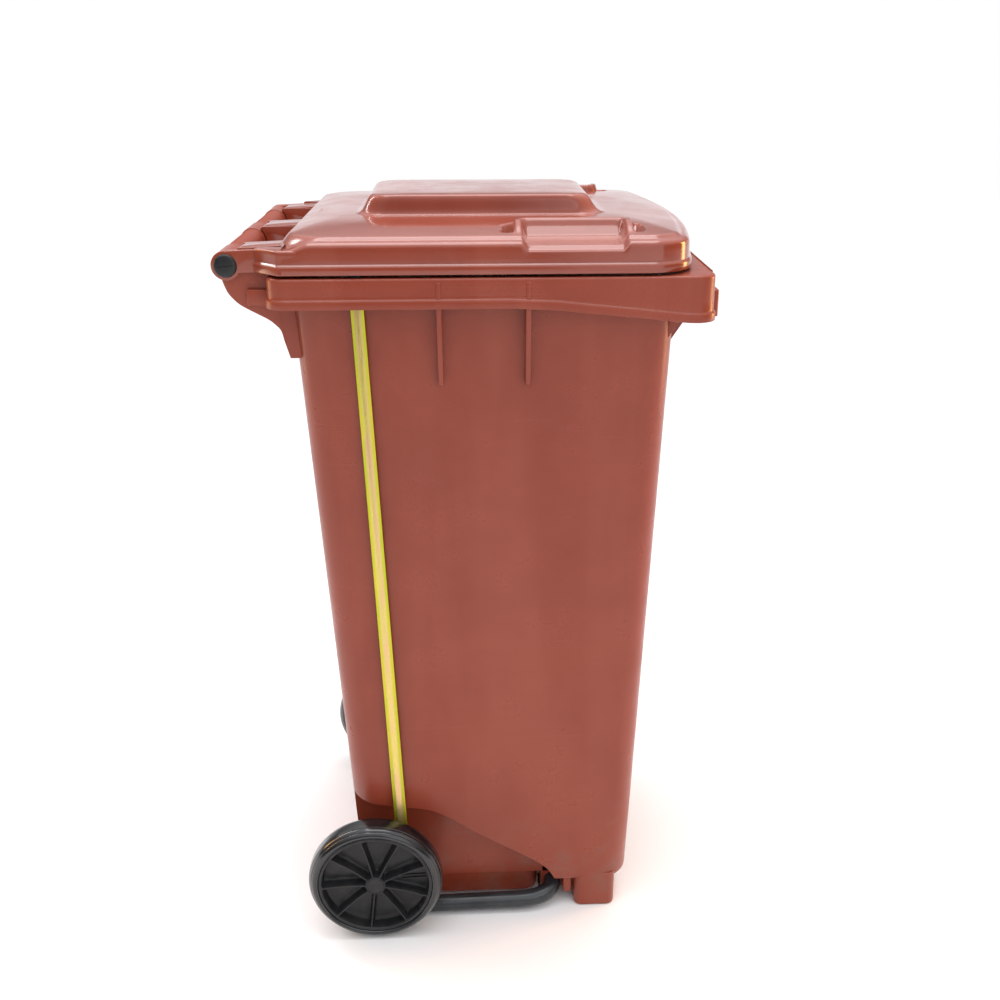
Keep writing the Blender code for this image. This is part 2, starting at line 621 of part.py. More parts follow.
def build_bolt(sign, side, surface):
    head = 0.1846
    profile = [(0, head + 0.0030), (0.0052, head + 0.0030), (0.0060, head + 0.0018), (0.0060, head), (0.0030, head),
               (0.0030, 0.1672), (0, 0.1672)]
    bolt = turned("bolt", [(radius, sign * y) for radius, y in profile], 20, ROD_PIN)
    finish(about(bolt, (ROD_PIN[0], sign * ROD_INNER_Y, ROD_PIN[1])), f"rod_bolt_{side}", surface)
    nut = turned("nut", [(0.0038, sign * 0.1746), (0.0066, sign * 0.1746), (0.0066, sign * 0.1696),
                         (0.0038, sign * 0.1696)], 6, ROD_PIN)
    finish(about(nut, (ROD_PIN[0], sign * ROD_INNER_Y, ROD_PIN[1])), f"rod_nut_{side}", surface)


def turn(point, centre, angle):
    """Turns an (x, z) point about a centre; a positive angle lifts what is in front of it."""
    dx, dz = point[0] - centre[0], point[1] - centre[1]
    c, s = math.cos(angle), math.sin(angle)
    return (centre[0] + dx * c - dz * s, centre[1] + dx * s + dz * c)


def rod_end_seen_from_lid(pedal):
    """Centre of the rod's round top end, in the lid's frame, at a pedal angle."""
    pin = turn(ROD_PIN, PIVOT, -pedal)
    length = (ROD_TOP[0] - ROD_PIN[0], ROD_TOP[1] - ROD_PIN[1])
    end = turn((pin[0] + length[0], pin[1] + length[1]), pin, pedal * (ROD_RATIO - 1))
    return turn(end, HINGE, -pedal * LIFT_RATIO)


def build_shoe(sign, side, surface):
    """Lift shoe between the rod's end and the lid. Its sole follows the end's forward slide under it."""
    clear = ROD_WIDTH / 2 + 0.0005
    path = [rod_end_seen_from_lid(PEDAL_TRAVEL * i / 10) for i in (3, 4, 5, 6, 7, 8, 9, 10)]
    sole = []
    for before, after in zip(path, path[1:]):
        dx, dz = after[0] - before[0], after[1] - before[1]
        size = math.hypot(dx, dz)
        middle = ((before[0] + after[0]) / 2, (before[1] + after[1]) / 2)
        sole.append((middle[0] - clear * dz / size, middle[1] + clear * dx / size))
    first, last = sole[0], sole[-1]
    outline = [(ROD_TOP[0] - 0.012, first[1])] + sole
    outline += [(last[0] + 0.007, last[1] - 0.004), (last[0] + 0.007, 0.9030), (ROD_TOP[0] - 0.012, 0.9030)]
    shoe = plate_xz("shoe", outline, *sorted((sign * 0.2140, sign * 0.2308)))
    finish(about_hinge(shoe), f"lift_shoe_{side}", surface)


def build_clamps(bright, dark):
    for sign, side in ((-1, "right"), (1, "left")):
        y = (sign * CLAMP_Y - 0.012, sign * CLAMP_Y + 0.012)
        clamp = block("clamp", (0.0815, 0.1205), y, (0.0117, 0.0147))
        for x in CLAMP_SCREW_XS:
            hole = arc((x, sign * CLAMP_Y), 0.0022, 0, 315, 7)
            cut(clamp, plate_xy("hole", hole, 0.0, 0.02))
        finish(clamp, f"pivot_clamp_{side}", dark)
    spots = [(x, sign * CLAMP_Y) for sign in (-1, 1) for x in CLAMP_SCREW_XS]
    for number, (x, y) in enumerate(spots, start=1):
        levels = [(0.0030, 0.0086), (0.0038, 0.0098), (0.0038, 0.0114), (0.0014, 0.0114), (0.0014, 0.0250)]
        rings = [[(px, py, z) for px, py in arc((x, y), radius, 0, 330, 11)] for radius, z in levels]
        finish(solid_from_rings("screw", rings), f"clamp_screw_{number}", bright)


def build():
    for old in list(bpy.data.objects):
        bpy.data.objects.remove(old)
    brown = material("brown_plastic", BROWN, 0.38, 0.0)
    plastic = material("black_plastic", BLACK_PLASTIC, 0.45, 0.0)
    rubber = material("tyre_rubber", RUBBER, 0.55, 0.0)
    tube = material("dark_painted_steel", DARK_STEEL, 0.45, 0.0)
    bright = material("bright_steel", BRIGHT_STEEL, 0.35, 1.0)
    zinc = material("yellow_zinc", YELLOW_ZINC, 0.38, 1.0)
    build_body(brown)
    build_lid(brown)
    for sign, side in ((-1, "right"), (1, "left")):
        build_wheel(sign, f"wheel_{side}", plastic)
        build_tyre(sign, f"tyre_{side}", rubber)
        build_pin(sign, f"hinge_pin_{side}", plastic)
        build_rod(sign, f"push_rod_{side}", zinc)
        build_bolt(sign, side, bright)
        build_shoe(sign, side, plastic)
    build_axle_parts(plastic, bright, tube)
    build_pedal_frame(tube)
    build_pedal_pad(rubber)
    build_clamps(bright, tube)


build()
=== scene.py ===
"""Looks of a pedal-operated two-wheeled waste bin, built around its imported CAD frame.

Metres, +X is the front, +Y the left side, +Z up. Right-hand pieces are at -Y.
"""

import json
from math import asin, atan, copysign, cos, degrees, hypot, pi, radians, sin

import bmesh
import bpy
import numpy as np
from mathutils import Matrix, Vector


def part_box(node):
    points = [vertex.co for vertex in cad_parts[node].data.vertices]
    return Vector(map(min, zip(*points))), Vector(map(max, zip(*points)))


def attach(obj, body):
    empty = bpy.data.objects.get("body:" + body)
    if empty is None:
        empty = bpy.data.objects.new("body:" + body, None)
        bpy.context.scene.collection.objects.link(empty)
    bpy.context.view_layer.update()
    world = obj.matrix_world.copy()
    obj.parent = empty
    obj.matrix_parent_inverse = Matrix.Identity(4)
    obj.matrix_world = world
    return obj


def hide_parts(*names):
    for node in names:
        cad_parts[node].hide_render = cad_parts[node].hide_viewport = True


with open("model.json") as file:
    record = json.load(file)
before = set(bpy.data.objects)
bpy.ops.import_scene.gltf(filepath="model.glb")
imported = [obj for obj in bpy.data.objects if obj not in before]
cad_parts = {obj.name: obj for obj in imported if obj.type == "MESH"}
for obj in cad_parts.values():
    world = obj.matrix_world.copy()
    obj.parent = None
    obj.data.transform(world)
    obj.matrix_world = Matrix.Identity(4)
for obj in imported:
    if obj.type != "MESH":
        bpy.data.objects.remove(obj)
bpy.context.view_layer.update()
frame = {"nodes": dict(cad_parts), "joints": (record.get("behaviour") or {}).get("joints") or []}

SIDES = ((-1, "right"), (1, "left"))
JOINTS = {joint["name"]: joint for joint in frame["joints"]}


def joint_xz(name):
    place = JOINTS[name]["pos_m"]
    return (place[0], place[2])


# Places read from the frame
HINGE = joint_xz("lid_hinge")
AXLE = joint_xz("wheel_right_spin")
PIVOT = joint_xz("pedal_pivot")
ROD_PIN = joint_xz("rod_right_pivot")
BODY_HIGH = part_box("body")[1]
LID_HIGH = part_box("lid")[1]

# Rim and shell
RIM_HALF = BODY_HIGH.y
RIM_TOP = 0.8765
RIM_REAR, RIM_FRONT = -0.216, 0.265
LIP_FRONT = BODY_HIGH.x
LIP_Z = (0.8255, 0.8545)
WALL = 0.004
BASE_Z = 0.041
BODY_TOP = 0.873
MOUTH_Z = 0.874
SIDE_AT_FLOOR, SIDE_SLOPE = 0.1735, 0.0553
REAR_AT_FLOOR, REAR_SLOPE = -0.1595, -0.0394
FRONT_AT_FLOOR, FRONT_SLOPE = 0.2007, 0.0291
CORNER = 0.036
RECESS_Y = 0.15
WELL_Y = 0.1465
WELL_X = (-0.16, 0.08)
WELL_Z = 0.008
FOOT_X = (0.129, 0.1855)
FOOT_Y = (0.118, 0.1765)
TOE_HALF, TOE_REAR, TOE_TOP = 0.076, 0.12, 0.14
RIB_XS = (-0.033, 0.062)
ROD_SLOT_Y = (0.2228, 0.2345)
TOOTH_PITCH = 0.0066

# Hinge line
KNUCKLE = 0.015
GRIP_RADIUS = 0.0135
ARM_RADIUS = 0.0154
ARM_OUTER = 0.15
ARM_CENTRE = 0.027
EAR_Y = (0.1914, 0.2001)
EYE_Y = (0.201, 0.205)
PIN_BORE = 0.0085
PIN_EDGE = 0.2053

# Lid
LID_HALF = LID_HIGH.y
LID_FRONT = 0.2575
LID_BOTTOM = 0.8795
LID_REAR = -0.2045
LID_REAR_CORNER = 0.012
LID_SKIN = 0.0026
BEAD_Z = 0.8904
SKIRT_TOP = 0.906
SHOULDER_TOP = 0.9125
SHELF_TOP = 0.9045
DOME_EDGE = 0.9168
DOME_TOP = 0.9225
PLATEAU_TOP = LID_HIGH.z
PLATEAU_X = (-0.13, 0.161)
PLATEAU_HALF = 0.095
PLATEAU_EDGE = PLATEAU_TOP - 0.0012

# The lid's hand grips: plan, ridge round the basin, moats at its inner corners, basin floor
GRIP_MIDDLE = 0.112
GRIP_HALF = 0.059
GRIP_INNER = 0.166
GRIP_CORNER = 0.013
RIDGE_INNER, RIDGE_OUTER = 0.9285, 0.9135
MOAT_CENTRE, MOAT_HALF, MOAT_DEPTH = 0.011, 0.007, 0.0105
BASIN_LIP = 0.902
BASIN_MOUTH = 0.2225
BASIN_Y = (GRIP_INNER, 0.17, 0.183, 0.185, 0.22, BASIN_MOUTH, 0.228, 0.24)
BASIN_Z = (0.9275, 0.9262, 0.9132, 0.9116, 0.9076, 0.9068, 0.903, 0.903)

# Wheels and their axle
AXLE_BORE = 0.0094
WHEEL_RADIUS = 0.088
WHEEL_FACE = 0.2306
WHEEL_WIDTH = 0.038
RIM_RADIUS = 0.0745
SPOKES = 9
SPOKE_PHASE = radians(22.8)

# Pedal and rods
TUBE_RADIUS = 0.0115
PEDAL_ARM_Y = 0.1775
ROD_TOP = (-0.1204, 0.8915)
ROD_INNER_Y = 0.1808
ROD_LEAN = 0.054
ROD_WIDTH, ROD_THICK = 0.014, 0.003
BOLT_BORE = 0.0034

SHARP = 32.0        # degrees between faces from which an edge is shaded sharp
WELD = 0.000005
PAST = 0.01         # how far a cutter runs past what it cuts


# ---- mesh helpers

def mesh_piece(name, points, faces, sharp=SHARP):
    mesh = bpy.data.meshes.new(name)
    mesh.from_pydata([tuple(map(float, point)) for point in points], [], faces)
    piece = bpy.data.objects.new(name, mesh)
    bpy.context.scene.collection.objects.link(piece)
    tidy(piece, sharp)
    return piece


def reshape(piece, sharp, change):
    """Runs a change on the piece's mesh and shades it by angle."""
    bm = bmesh.new()
    bm.from_mesh(piece.data)
    change(bm)
    bm.to_mesh(piece.data)
    bm.free()
    piece.data.shade_smooth()
    piece.data.set_sharp_from_angle(angle=radians(sharp))


def tidy(piece, sharp=SHARP):
    """Welds the mesh and turns its faces outward."""
    def change(bm):
        bmesh.ops.remove_doubles(bm, verts=bm.verts, dist=WELD)
        bmesh.ops.recalc_face_normals(bm, faces=bm.faces)

    reshape(piece, sharp, change)


def loft(name, rings, loop=False, sharp=SHARP):
    """A closed skin through rings of equal length; loop joins the last ring to the first."""
    count = len(rings[0])
    total = len(rings)
    faces = []
    for r in range(total if loop else total - 1):
        low, high = r * count, ((r + 1) % total) * count
        faces += [(low + i, low + (i + 1) % count, high + (i + 1) % count, high + i)
            for i in range(count)]
    if not loop:
        faces.append(tuple(reversed(range(count))))
        faces.append(tuple(range((total - 1) * count, total * count)))
    return mesh_piece(name, np.concatenate([np.asarray(ring) for ring in rings]), faces, sharp)


def at_height(outline, z):
    outline = np.asarray(outline)
    return np.column_stack([outline, np.broadcast_to(z, len(outline))])


def prism(name, outline, start, end, bevel=0.0, plane="xz"):
    """An outline in a plane, extruded from start to end across it, with its edges rounded."""
    place = {"xz": lambda a, b, c: (a, c, b), "xy": lambda a, b, c: (a, b, c), "yz": lambda a, b,
        c: (c, a, b)}
    rings = [[place[plane](a, b, c) for a, b in outline] for c in (start, end)]
    piece = loft(name, rings)
    if bevel:
        round_edges(piece, bevel)
    return piece


def round_edges(piece, width, sharp=SHARP, chosen=None):
    """Rounds the sharp edges, or those of them that chosen picks."""
    def change(bm):
        edges = [edge for edge in bm.edges if len(edge.link_faces) == 2
            and edge.calc_face_angle(0.0) > radians(sharp) and (chosen is None or chosen(edge))]
        bmesh.ops.bevel(bm, geom=edges, offset=width, segments=3, profile=0.5, affect="EDGES",
            clamp_overlap=True)

    reshape(piece, sharp, change)


def mm(*points):
    """Points given in millimetres, in metres."""
    return [tuple(value / 1000 for value in point) for point in points]


def arc(centre, radius, start, end, steps):
    angles = [radians(start + (end - start) * i / steps) for i in range(steps + 1)]
    return [(centre[0] + radius * cos(a), centre[1] + radius * sin(a)) for a in angles]


def rounded_box(x, y, radius, steps=8):
    corners = ((x[1], y[1], 0), (x[0], y[1], 90), (x[0], y[0], 180), (x[1], y[0], 270))
    points = []
    for cx, cy, start in corners:
        centre = (cx - copysign(radius, cx - sum(x) / 2), cy - copysign(radius, cy - sum(y) / 2))
        points += arc(centre, radius, start, start + 90, steps)
    return points


def slab(name, x, y, z, radius, steps=4, bevel=0.0):
    """A box with round upright edges."""
    return prism(name, rounded_box(x, y, radius, steps), *z, bevel, "xy")


def smooth_through(points, steps=6):
    """A smooth curve through the points, with its ends kept."""
    padded = [points[0]] + list(points) + [points[-1]]
    made = []
    for p0, p1, p2, p3 in zip(padded, padded[1:], padded[2:], padded[3:]):
        for i in range(steps):
            t = i / steps
            made.append(tuple(0.5 * (2 * b + (c - a) * t + (2 * a - 5 * b + 4 * c - d) * t * t
                + (3 * b - a - 3 * c + d) * t ** 3) for a, b, c, d in zip(p0, p1, p2, p3)))
    return made + [tuple(points[-1])]


def curve_points(start, corner, end, steps):
    """A short curve from start to end, drawn towards the corner between them."""
    return [tuple((1 - t) ** 2 * a + 2 * t * (1 - t) * b + t * t * c for a, b,
        c in zip(start, corner, end)) for t in np.linspace(0, 1, steps + 1)]


def turned(name, profile, segments=96, centre=(0.0, 0.0), sharp=SHARP):
    """A closed (radius, y) profile turned about a line along Y through centre."""
    points, loops = [], []
    for radius, y in profile:
        steps = 1 if radius == 0 else segments
        loops.append([len(points) + i for i in range(steps)])
        for i in range(steps):
            a = 2 * pi * i / segments
            points.append((centre[0] + radius * cos(a), y, centre[1] + radius * sin(a)))
    faces = []
    for low, high in zip(loops, loops[1:] + loops[:1]):
        for i in range(segments):
            j = i + 1
            corners = (low[i % len(low)], low[j % len(low)], high[j % len(high)],
                high[i % len(high)])
            face = tuple(dict.fromkeys(corners))
            if len(face) > 2:
                faces.append(face)
    return mesh_piece(name, points, faces, sharp)


def tube_along(name, path, radius, sides=28):
    path = [Vector(point) for point in path]
    rings = []
    side = None
    for i, point in enumerate(path):
        ahead = (path[min(i + 1, len(path) - 1)] - path[max(i - 1, 0)]).normalized()
        side = (side or ahead.orthogonal()).cross(ahead).cross(ahead).normalized() * -1
        across = ahead.cross(side)
        turns = [2 * pi * k / sides for k in range(sides)]
        rings.append([point + radius * (cos(a) * side + sin(a) * across) for a in turns])
    return loft(name, rings, sharp=50)


def combine(target, tools, operation):
    for tool in tools:
        modifier = target.modifiers.new("step", "BOOLEAN")
        modifier.operation = operation
        modifier.solver = "EXACT"
        modifier.object = tool
        bpy.context.view_layer.update()
        evaluated = target.evaluated_get(bpy.context.evaluated_depsgraph_get())
        mesh = bpy.data.meshes.new_from_object(evaluated)
        target.modifiers.clear()
        target.data = mesh
        bpy.data.objects.remove(tool)
    tidy(target)


def cut(target, *tools):
    combine(target, tools, "DIFFERENCE")


def bore(radius, ends, centre, segments=40):
    """The cutter for a round hole along Y."""
    return turned("bore", [(0, ends[0]), (radius, ends[0]), (radius, ends[1]), (0, ends[1])],
        segments, centre)


def past(side):
    return (side[0] - PAST, side[1] + PAST)


def merge(name, pieces):
    """Several closed pieces as one object."""
    bm = bmesh.new()
    for piece in pieces:
        bm.from_mesh(piece.data)
        bpy.data.objects.remove(piece)
    mesh = bpy.data.meshes.new(name)
    bm.to_mesh(mesh)
    bm.free()
    made = bpy.data.objects.new(name, mesh)
    bpy.context.scene.collection.objects.link(made)
    return made


def dress(piece, name, surface, body, slot, *nodes):
    """Names a finished piece, gives it its finish and fixes it to its CAD body."""
    piece.name = name
    piece.data.materials.clear()
    piece.data.materials.append(surface)
    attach(piece, body)
    if nodes:
        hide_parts(*nodes)
    return piece


def moulding(name, body, pieces, *nodes):
    """Brown closed pieces that run into each other, as one piece of the tub or the lid."""
    surface = {"bin": BODY_PLASTIC, "lid": LID_PLASTIC}[body]
    dress(merge(name, pieces), name, surface, body, "brown_plastic", *nodes)


def both(outline):
    return ((-outline[1], -outline[0]), (outline[0], outline[1]))


def from_hinge(points):
    return [(HINGE[0] + dx, HINGE[1] + dz) for dx, dz in points]


def smoothstep(x, low, high):
    t = np.clip((np.asarray(x, float) - low) / (high - low), 0, 1)
    return t * t * (3 - 2 * t)


# ---- materials

class Wires:
    """A node tree and short ways to wire nodes into it."""

    def __init__(self, tree):
        self.tree = tree

    def node(self, kind, sockets=(), **properties):
        made = self.tree.nodes.new("ShaderNode" + kind)
        for key, value in properties.items():
            setattr(made, key, value)
        for socket, value in dict(sockets).items():
            made.inputs[socket].default_value = value
        return made

    def link(self, source, target):
        self.tree.links.new(source, target)

    def band(self, value, low, high, out_low=0.0, out_high=1.0, interpolation="SMOOTHSTEP"):
        """Maps a value's range low..high onto out_low..out_high, held at the ends."""
        made = self.node("MapRange", {"From Min": low, "From Max": high, "To Min": out_low,
            "To Max": out_high}, interpolation_type=interpolation)
        self.link(value, made.inputs["Value"])
        return made.outputs["Result"]

    def sum(self, first, second, operation="ADD"):
        made = self.node("Math", operation=operation)
        self.link(first, made.inputs[0])
        if hasattr(second, "is_output"):
            self.link(second, made.inputs[1])
        else:
            made.inputs[1].default_value = second
        return made.outputs[0]

    def times(self, first, second):
        return self.sum(first, second, "MULTIPLY")


class Surface(Wires):
    """A Principled material."""

    def __init__(self, name, colour, roughness, metallic=0.0, coat=0.0, specular=0.5):
        self.material = bpy.data.materials.new(name)
        self.material.use_nodes = True
        super().__init__(self.material.node_tree)
        self.shader = self.tree.nodes["Principled BSDF"]
        settings = {"Base Color": (*colour, 1.0), "Roughness": roughness, "Metallic": metallic,
            "Coat Weight": coat, "Coat Roughness": 0.12, "Specular IOR Level": specular}
        for socket, value in settings.items():
            self.shader.inputs[socket].default_value = value
        self.place = self.node("TexCoord").outputs["Object"]
        self.normal = None

    def scaled(self, scale, turn=(0.0, 0.0, 0.0)):
        mapping = self.node("Mapping", {"Scale": scale, "Rotation": turn})
        self.link(self.place, mapping.inputs["Vector"])
        return mapping.outputs["Vector"]

    def noise(self, scale, detail=4.0, roughness=0.55, distortion=0.0, vector=None):
        made = self.node("TexNoise", {"Scale": scale, "Detail": detail, "Roughness": roughness,
            "Distortion": distortion})
        self.link(self.place if vector is None else vector, made.inputs["Vector"])
        return made.outputs["Fac"]

    def patches(self, scale, detail, roughness, low, high, out_low=0.0, out_high=1.0):
        """Soft-edged patches: a noise cut to a range."""
        return self.band(self.noise(scale, detail, roughness), low, high, out_low, out_high)

    def mix(self, factor, first, second):
        """Mixes two colours; each is a triple or a node's output."""
        made = self.node("Mix", data_type="RGBA")
        sockets = [socket for socket in made.inputs if socket.type == "RGBA"]
        for socket, value in zip(sockets, (first, second)):
            if hasattr(value, "is_output"):
                self.link(value, socket)
            else:
                socket.default_value = (*value, 1.0)
        self.link(factor, made.inputs["Factor"])
        return [socket for socket in made.outputs if socket.type == "RGBA"][0]

    def axis(self, letter):
        made = self.node("SeparateXYZ")
        self.link(self.place, made.inputs["Vector"])
        return made.outputs[letter]

    def colour(self, output):
        self.link(output, self.shader.inputs["Base Color"])

    def roughness(self, output):
        self.link(output, self.shader.inputs["Roughness"])

    def bump(self, height, distance, strength):
        """Adds a relief on top of those already there."""
        made = self.node("Bump", {"Distance": distance, "Strength": strength})
        self.link(height, made.inputs["Height"])
        if self.normal is not None:
            self.link(self.normal, made.inputs["Normal"])
        self.normal = made.outputs["Normal"]
        self.link(self.normal, self.shader.inputs["Normal"])

    def grain(self, scale, detail, roughness, distance, strength):
        self.bump(self.noise(scale, detail, roughness), distance, strength)

    def scratches(self, scale, turn, low, high):
        """Thin scattered strokes: the peaks of a stretched noise."""
        return self.band(self.noise(1.0, 2.0, 0.5, 0.4, self.scaled(scale, turn)), low, high)


def moulded_plastic(name, rough, coat, grain, specular):
    """Moulded polyethylene: mottled pigment, flow streaks, fine grain, rub marks and scratches."""
    deep, mid, light = BROWNS
    made = Surface(name, mid, rough, coat=coat, specular=specular)
    mottle = made.patches(9, 5, 0.6, 0.35, 0.68)
    flow = made.band(made.noise(1, 3, 0.5, 0.2, made.scaled((14, 14, 1.6))), 0.4, 0.65)
    base = made.mix(made.times(mottle, 0.55), mid, deep)
    base = made.mix(made.times(flow, 0.3), base, light)
    rubs = made.scratches((2.2, 2.2, 420), (0.05, 0.02, 0), 0.7, 0.735)
    slants = made.scratches((5, 5, 260), (0.9, 0.5, 0.3), 0.715, 0.75)
    marks = made.sum(rubs, slants, "MAXIMUM")
    base = made.mix(made.times(marks, 0.22), base, light)
    low = made.band(made.axis("Z"), 0.02, 0.22, 0.34, 0)
    dust = made.times(made.patches(26, 6, 0.7, 0.45, 0.72), low)
    base = made.mix(dust, base, (0.2, 0.13, 0.1))
    made.colour(base)
    spread = made.patches(18, 5, 0.6, 0.3, 0.7, rough - 0.05, rough + 0.07)
    made.roughness(made.sum(spread, made.times(marks, 0.1)))
    made.grain(5, 2, 0.4, 0.0012, 0.35)
    made.grain(620, 3, 0.6, grain, 0.55)
    made.bump(marks, 0.00006, -0.4)
    return made.material


def black_plastic():
    made = Surface("black_plastic", (0.018, 0.019, 0.02), 0.34, coat=0.05, specular=0.3)
    mottle = made.patches(60, 5, 0.6, 0.35, 0.7)
    dusty = made.patches(14, 6, 0.7, 0.5, 0.75, 0, 0.2)
    base = made.mix(mottle, (0.012, 0.013, 0.014), (0.024, 0.025, 0.026))
    made.colour(made.mix(dusty, base, (0.055, 0.052, 0.049)))
    made.roughness(made.patches(40, 5, 0.6, 0.3, 0.7, 0.28, 0.46))
    made.grain(900, 3, 0.6, 0.00006, 0.6)
    made.grain(40, 2, 0.5, 0.0003, 0.3)
    return made.material


def tyre_rubber():
    made = Surface("tyre_rubber", (0.01, 0.011, 0.014), 0.18, coat=0.55, specular=0.45)
    scuffs = made.patches(70, 7, 0.75, 0.6, 0.72)
    specks = made.patches(420, 2, 0.5, 0.7, 0.76)
    dusty = made.patches(9, 5, 0.65, 0.45, 0.75, 0, 0.4)
    base = made.mix(dusty, (0.007, 0.008, 0.01), (0.018, 0.018, 0.018))
    base = made.mix(made.times(scuffs, 0.2), base, (0.04, 0.038, 0.036))
    made.colour(made.mix(made.times(specks, 0.35), base, (0.14, 0.13, 0.12)))
    made.roughness(made.sum(made.patches(22, 4, 0.6, 0.3, 0.7, 0.13, 0.24),
        made.times(scuffs, 0.25)))
    made.grain(1100, 2, 0.6, 0.00004, 0.5)
    made.bump(scuffs, 0.00008, -0.5)
    return made.material


def ribbed_rubber():
    made = Surface("black_rubber", (0.024, 0.024, 0.025), 0.6)
    worn = made.patches(45, 6, 0.7, 0.45, 0.7)
    made.colour(made.mix(made.times(worn, 0.6), (0.018, 0.018, 0.019), (0.075, 0.07, 0.064)))
    made.roughness(made.patches(60, 4, 0.6, 0.3, 0.7, 0.48, 0.74))
    made.grain(800, 3, 0.7, 0.0001, 0.6)
    return made.material


def painted_steel():
    made = Surface("dark_steel", (0.03, 0.036, 0.041), 0.34, coat=0.2)
    chips = made.patches(150, 6, 0.7, 0.66, 0.7)
    cloud = made.patches(30, 4, 0.6, 0.35, 0.7)
    base = made.mix(cloud, (0.012, 0.016, 0.019), (0.024, 0.03, 0.035))
    made.colour(made.mix(made.times(chips, 0.55), base, (0.13, 0.1, 0.08)))
    made.roughness(made.sum(made.patches(70, 4, 0.6, 0.3, 0.7, 0.26, 0.42),
        made.times(chips, 0.25)))
    made.grain(500, 3, 0.5, 0.00008, 0.5)
    made.bump(chips, 0.0001, -0.6)
    return made.material


def bright_steel():
    made = Surface("bright_steel", (0.56, 0.57, 0.59), 0.3, metallic=1.0)
    spangle = made.patches(240, 4, 0.7, 0.35, 0.65)
    made.colour(made.mix(spangle, (0.46, 0.47, 0.49), (0.66, 0.67, 0.69)))
    made.roughness(made.patches(180, 5, 0.7, 0.3, 0.7, 0.22, 0.42))
    made.grain(900, 3, 0.6, 0.00004, 0.5)
    return made.material


def yellow_zinc():
    """Yellow passivated strip: acid yellow towards its edges, pinkish along its middle."""
    made = Surface("yellow_zinc", (0.7, 0.66, 0.16), 0.34, metallic=0.75)
    centre = made.node("Math", operation="MULTIPLY_ADD")
    slope = (ROD_TOP[0] - ROD_PIN[0]) / (ROD_TOP[1] - ROD_PIN[1])
    made.link(made.axis("Z"), centre.inputs[0])
    centre.inputs[1].default_value = slope
    centre.inputs[2].default_value = ROD_PIN[0] - slope * ROD_PIN[1]
    off = made.sum(made.axis("X"), centre.outputs[0], "SUBTRACT")
    away = made.node("Math", operation="ABSOLUTE")
    made.link(off, away.inputs[0])
    edge = made.band(away.outputs[0], 0.0022, 0.0056)
    iris = made.band(made.noise(1, 4, 0.6, 0.6, made.scaled((90, 90, 9))), 0.35, 0.65)
    middle = made.mix(iris, (0.72, 0.47, 0.24), (0.68, 0.58, 0.13))
    rim = made.mix(iris, (0.46, 0.5, 0.02), (0.58, 0.5, 0.04))
    sleeve = made.band(made.axis("Z"), 0.87, 0.8712)
    made.colour(made.mix(sleeve, made.mix(edge, middle, rim), (0.012, 0.012, 0.013)))
    made.roughness(made.band(made.noise(1, 5, 0.6, 0, made.scaled((600, 600, 14))), 0.3, 0.7, 0.26,
        0.44))
    made.bump(made.noise(1, 3, 0.6, 0, made.scaled((900, 900, 20))), 0.00005, 0.6)
    return made.material


def pale_floor():
    made = Surface("pale_floor", (0.94, 0.94, 0.94), 0.9)
    made.colour(made.mix(made.noise(3.0, 4.0, 0.6), (0.93, 0.93, 0.93), (0.95, 0.95, 0.95)))
    return made.material


# Deep, middle and light brown
BROWNS = ((0.22, 0.034, 0.016), (0.272, 0.047, 0.022), (0.335, 0.082, 0.048))
BODY_PLASTIC = moulded_plastic("body_plastic", 0.31, 0.06, 0.0001, 0.34)
LID_PLASTIC = moulded_plastic("lid_plastic", 0.16, 0.5, 0.00003, 0.45)
BLACK = black_plastic()
TYRE = tyre_rubber()
TREAD = ribbed_rubber()
DARK_STEEL = painted_steel()
STEEL = bright_steel()
ZINC = yellow_zinc()


# ---- plan outlines

FRONT_STEPS, CORNER_STEPS, REAR_CORNER_STEPS, REAR_STEPS = 14, 16, 12, 12


def plan(front, rear, half, front_radius, rear_radius, bow, fractions):
    """A closed outline with round corners and a bowed front; fractions place the side's points."""
    slope = atan(2 * bow * (half - front_radius) / 0.04)
    y1 = half - front_radius + front_radius * sin(slope)
    x1 = front - bow * (y1 / 0.2) ** 2
    cx = x1 - front_radius * cos(slope)
    points = [(front - bow * (y / 0.2) ** 2, y) for y in np.linspace(0, y1, FRONT_STEPS,
        endpoint=False)]
    points += arc((cx, half - front_radius), front_radius, degrees(slope), 90, CORNER_STEPS)[:-1]
    points += [(cx + (rear + rear_radius - cx) * f, half) for f in fractions]
    points += arc((rear + rear_radius, half - rear_radius), rear_radius, 90, 180,
        REAR_CORNER_STEPS)[:-1]
    points += [(rear, y) for y in np.linspace(half - rear_radius, 0, REAR_STEPS)]
    mirrored = [(x, -y) for x, y in reversed(points[1:-1])]
    return np.array(points + mirrored)


EVEN = np.linspace(0, 1, 60, endpoint=False)


# ---- body

def tub_limits(z, inset):
    """Rear, front and side of the tapered tub at a height."""
    return (REAR_AT_FLOOR + REAR_SLOPE * z + inset, FRONT_AT_FLOOR + FRONT_SLOPE * z - inset,
        SIDE_AT_FLOOR + SIDE_SLOPE * z - inset)


def shell_ring(z, inset):
    rear, front, half = tub_limits(z, inset)
    return [(x, y, z) for x, y in rounded_box((rear, front), (-half, half),
        CORNER - min(inset, 0.02), 14)]


def recess_outline(grow):
    edge = mm((-200, 196), (-163, 189.5), (-137, 184), (-104, 178), (-66, 172), (-40, 158),
        (-13, 138), (27, 111.5), (68, 85), (88, 69), (98, 55), (106, 36))
    top = [(x + grow, z + grow) for x, z in smooth_through(edge, 4)]
    return [(-0.3, 0.196 + grow)] + top + [(0.106 + grow, -0.02), (-0.3, -0.02)]


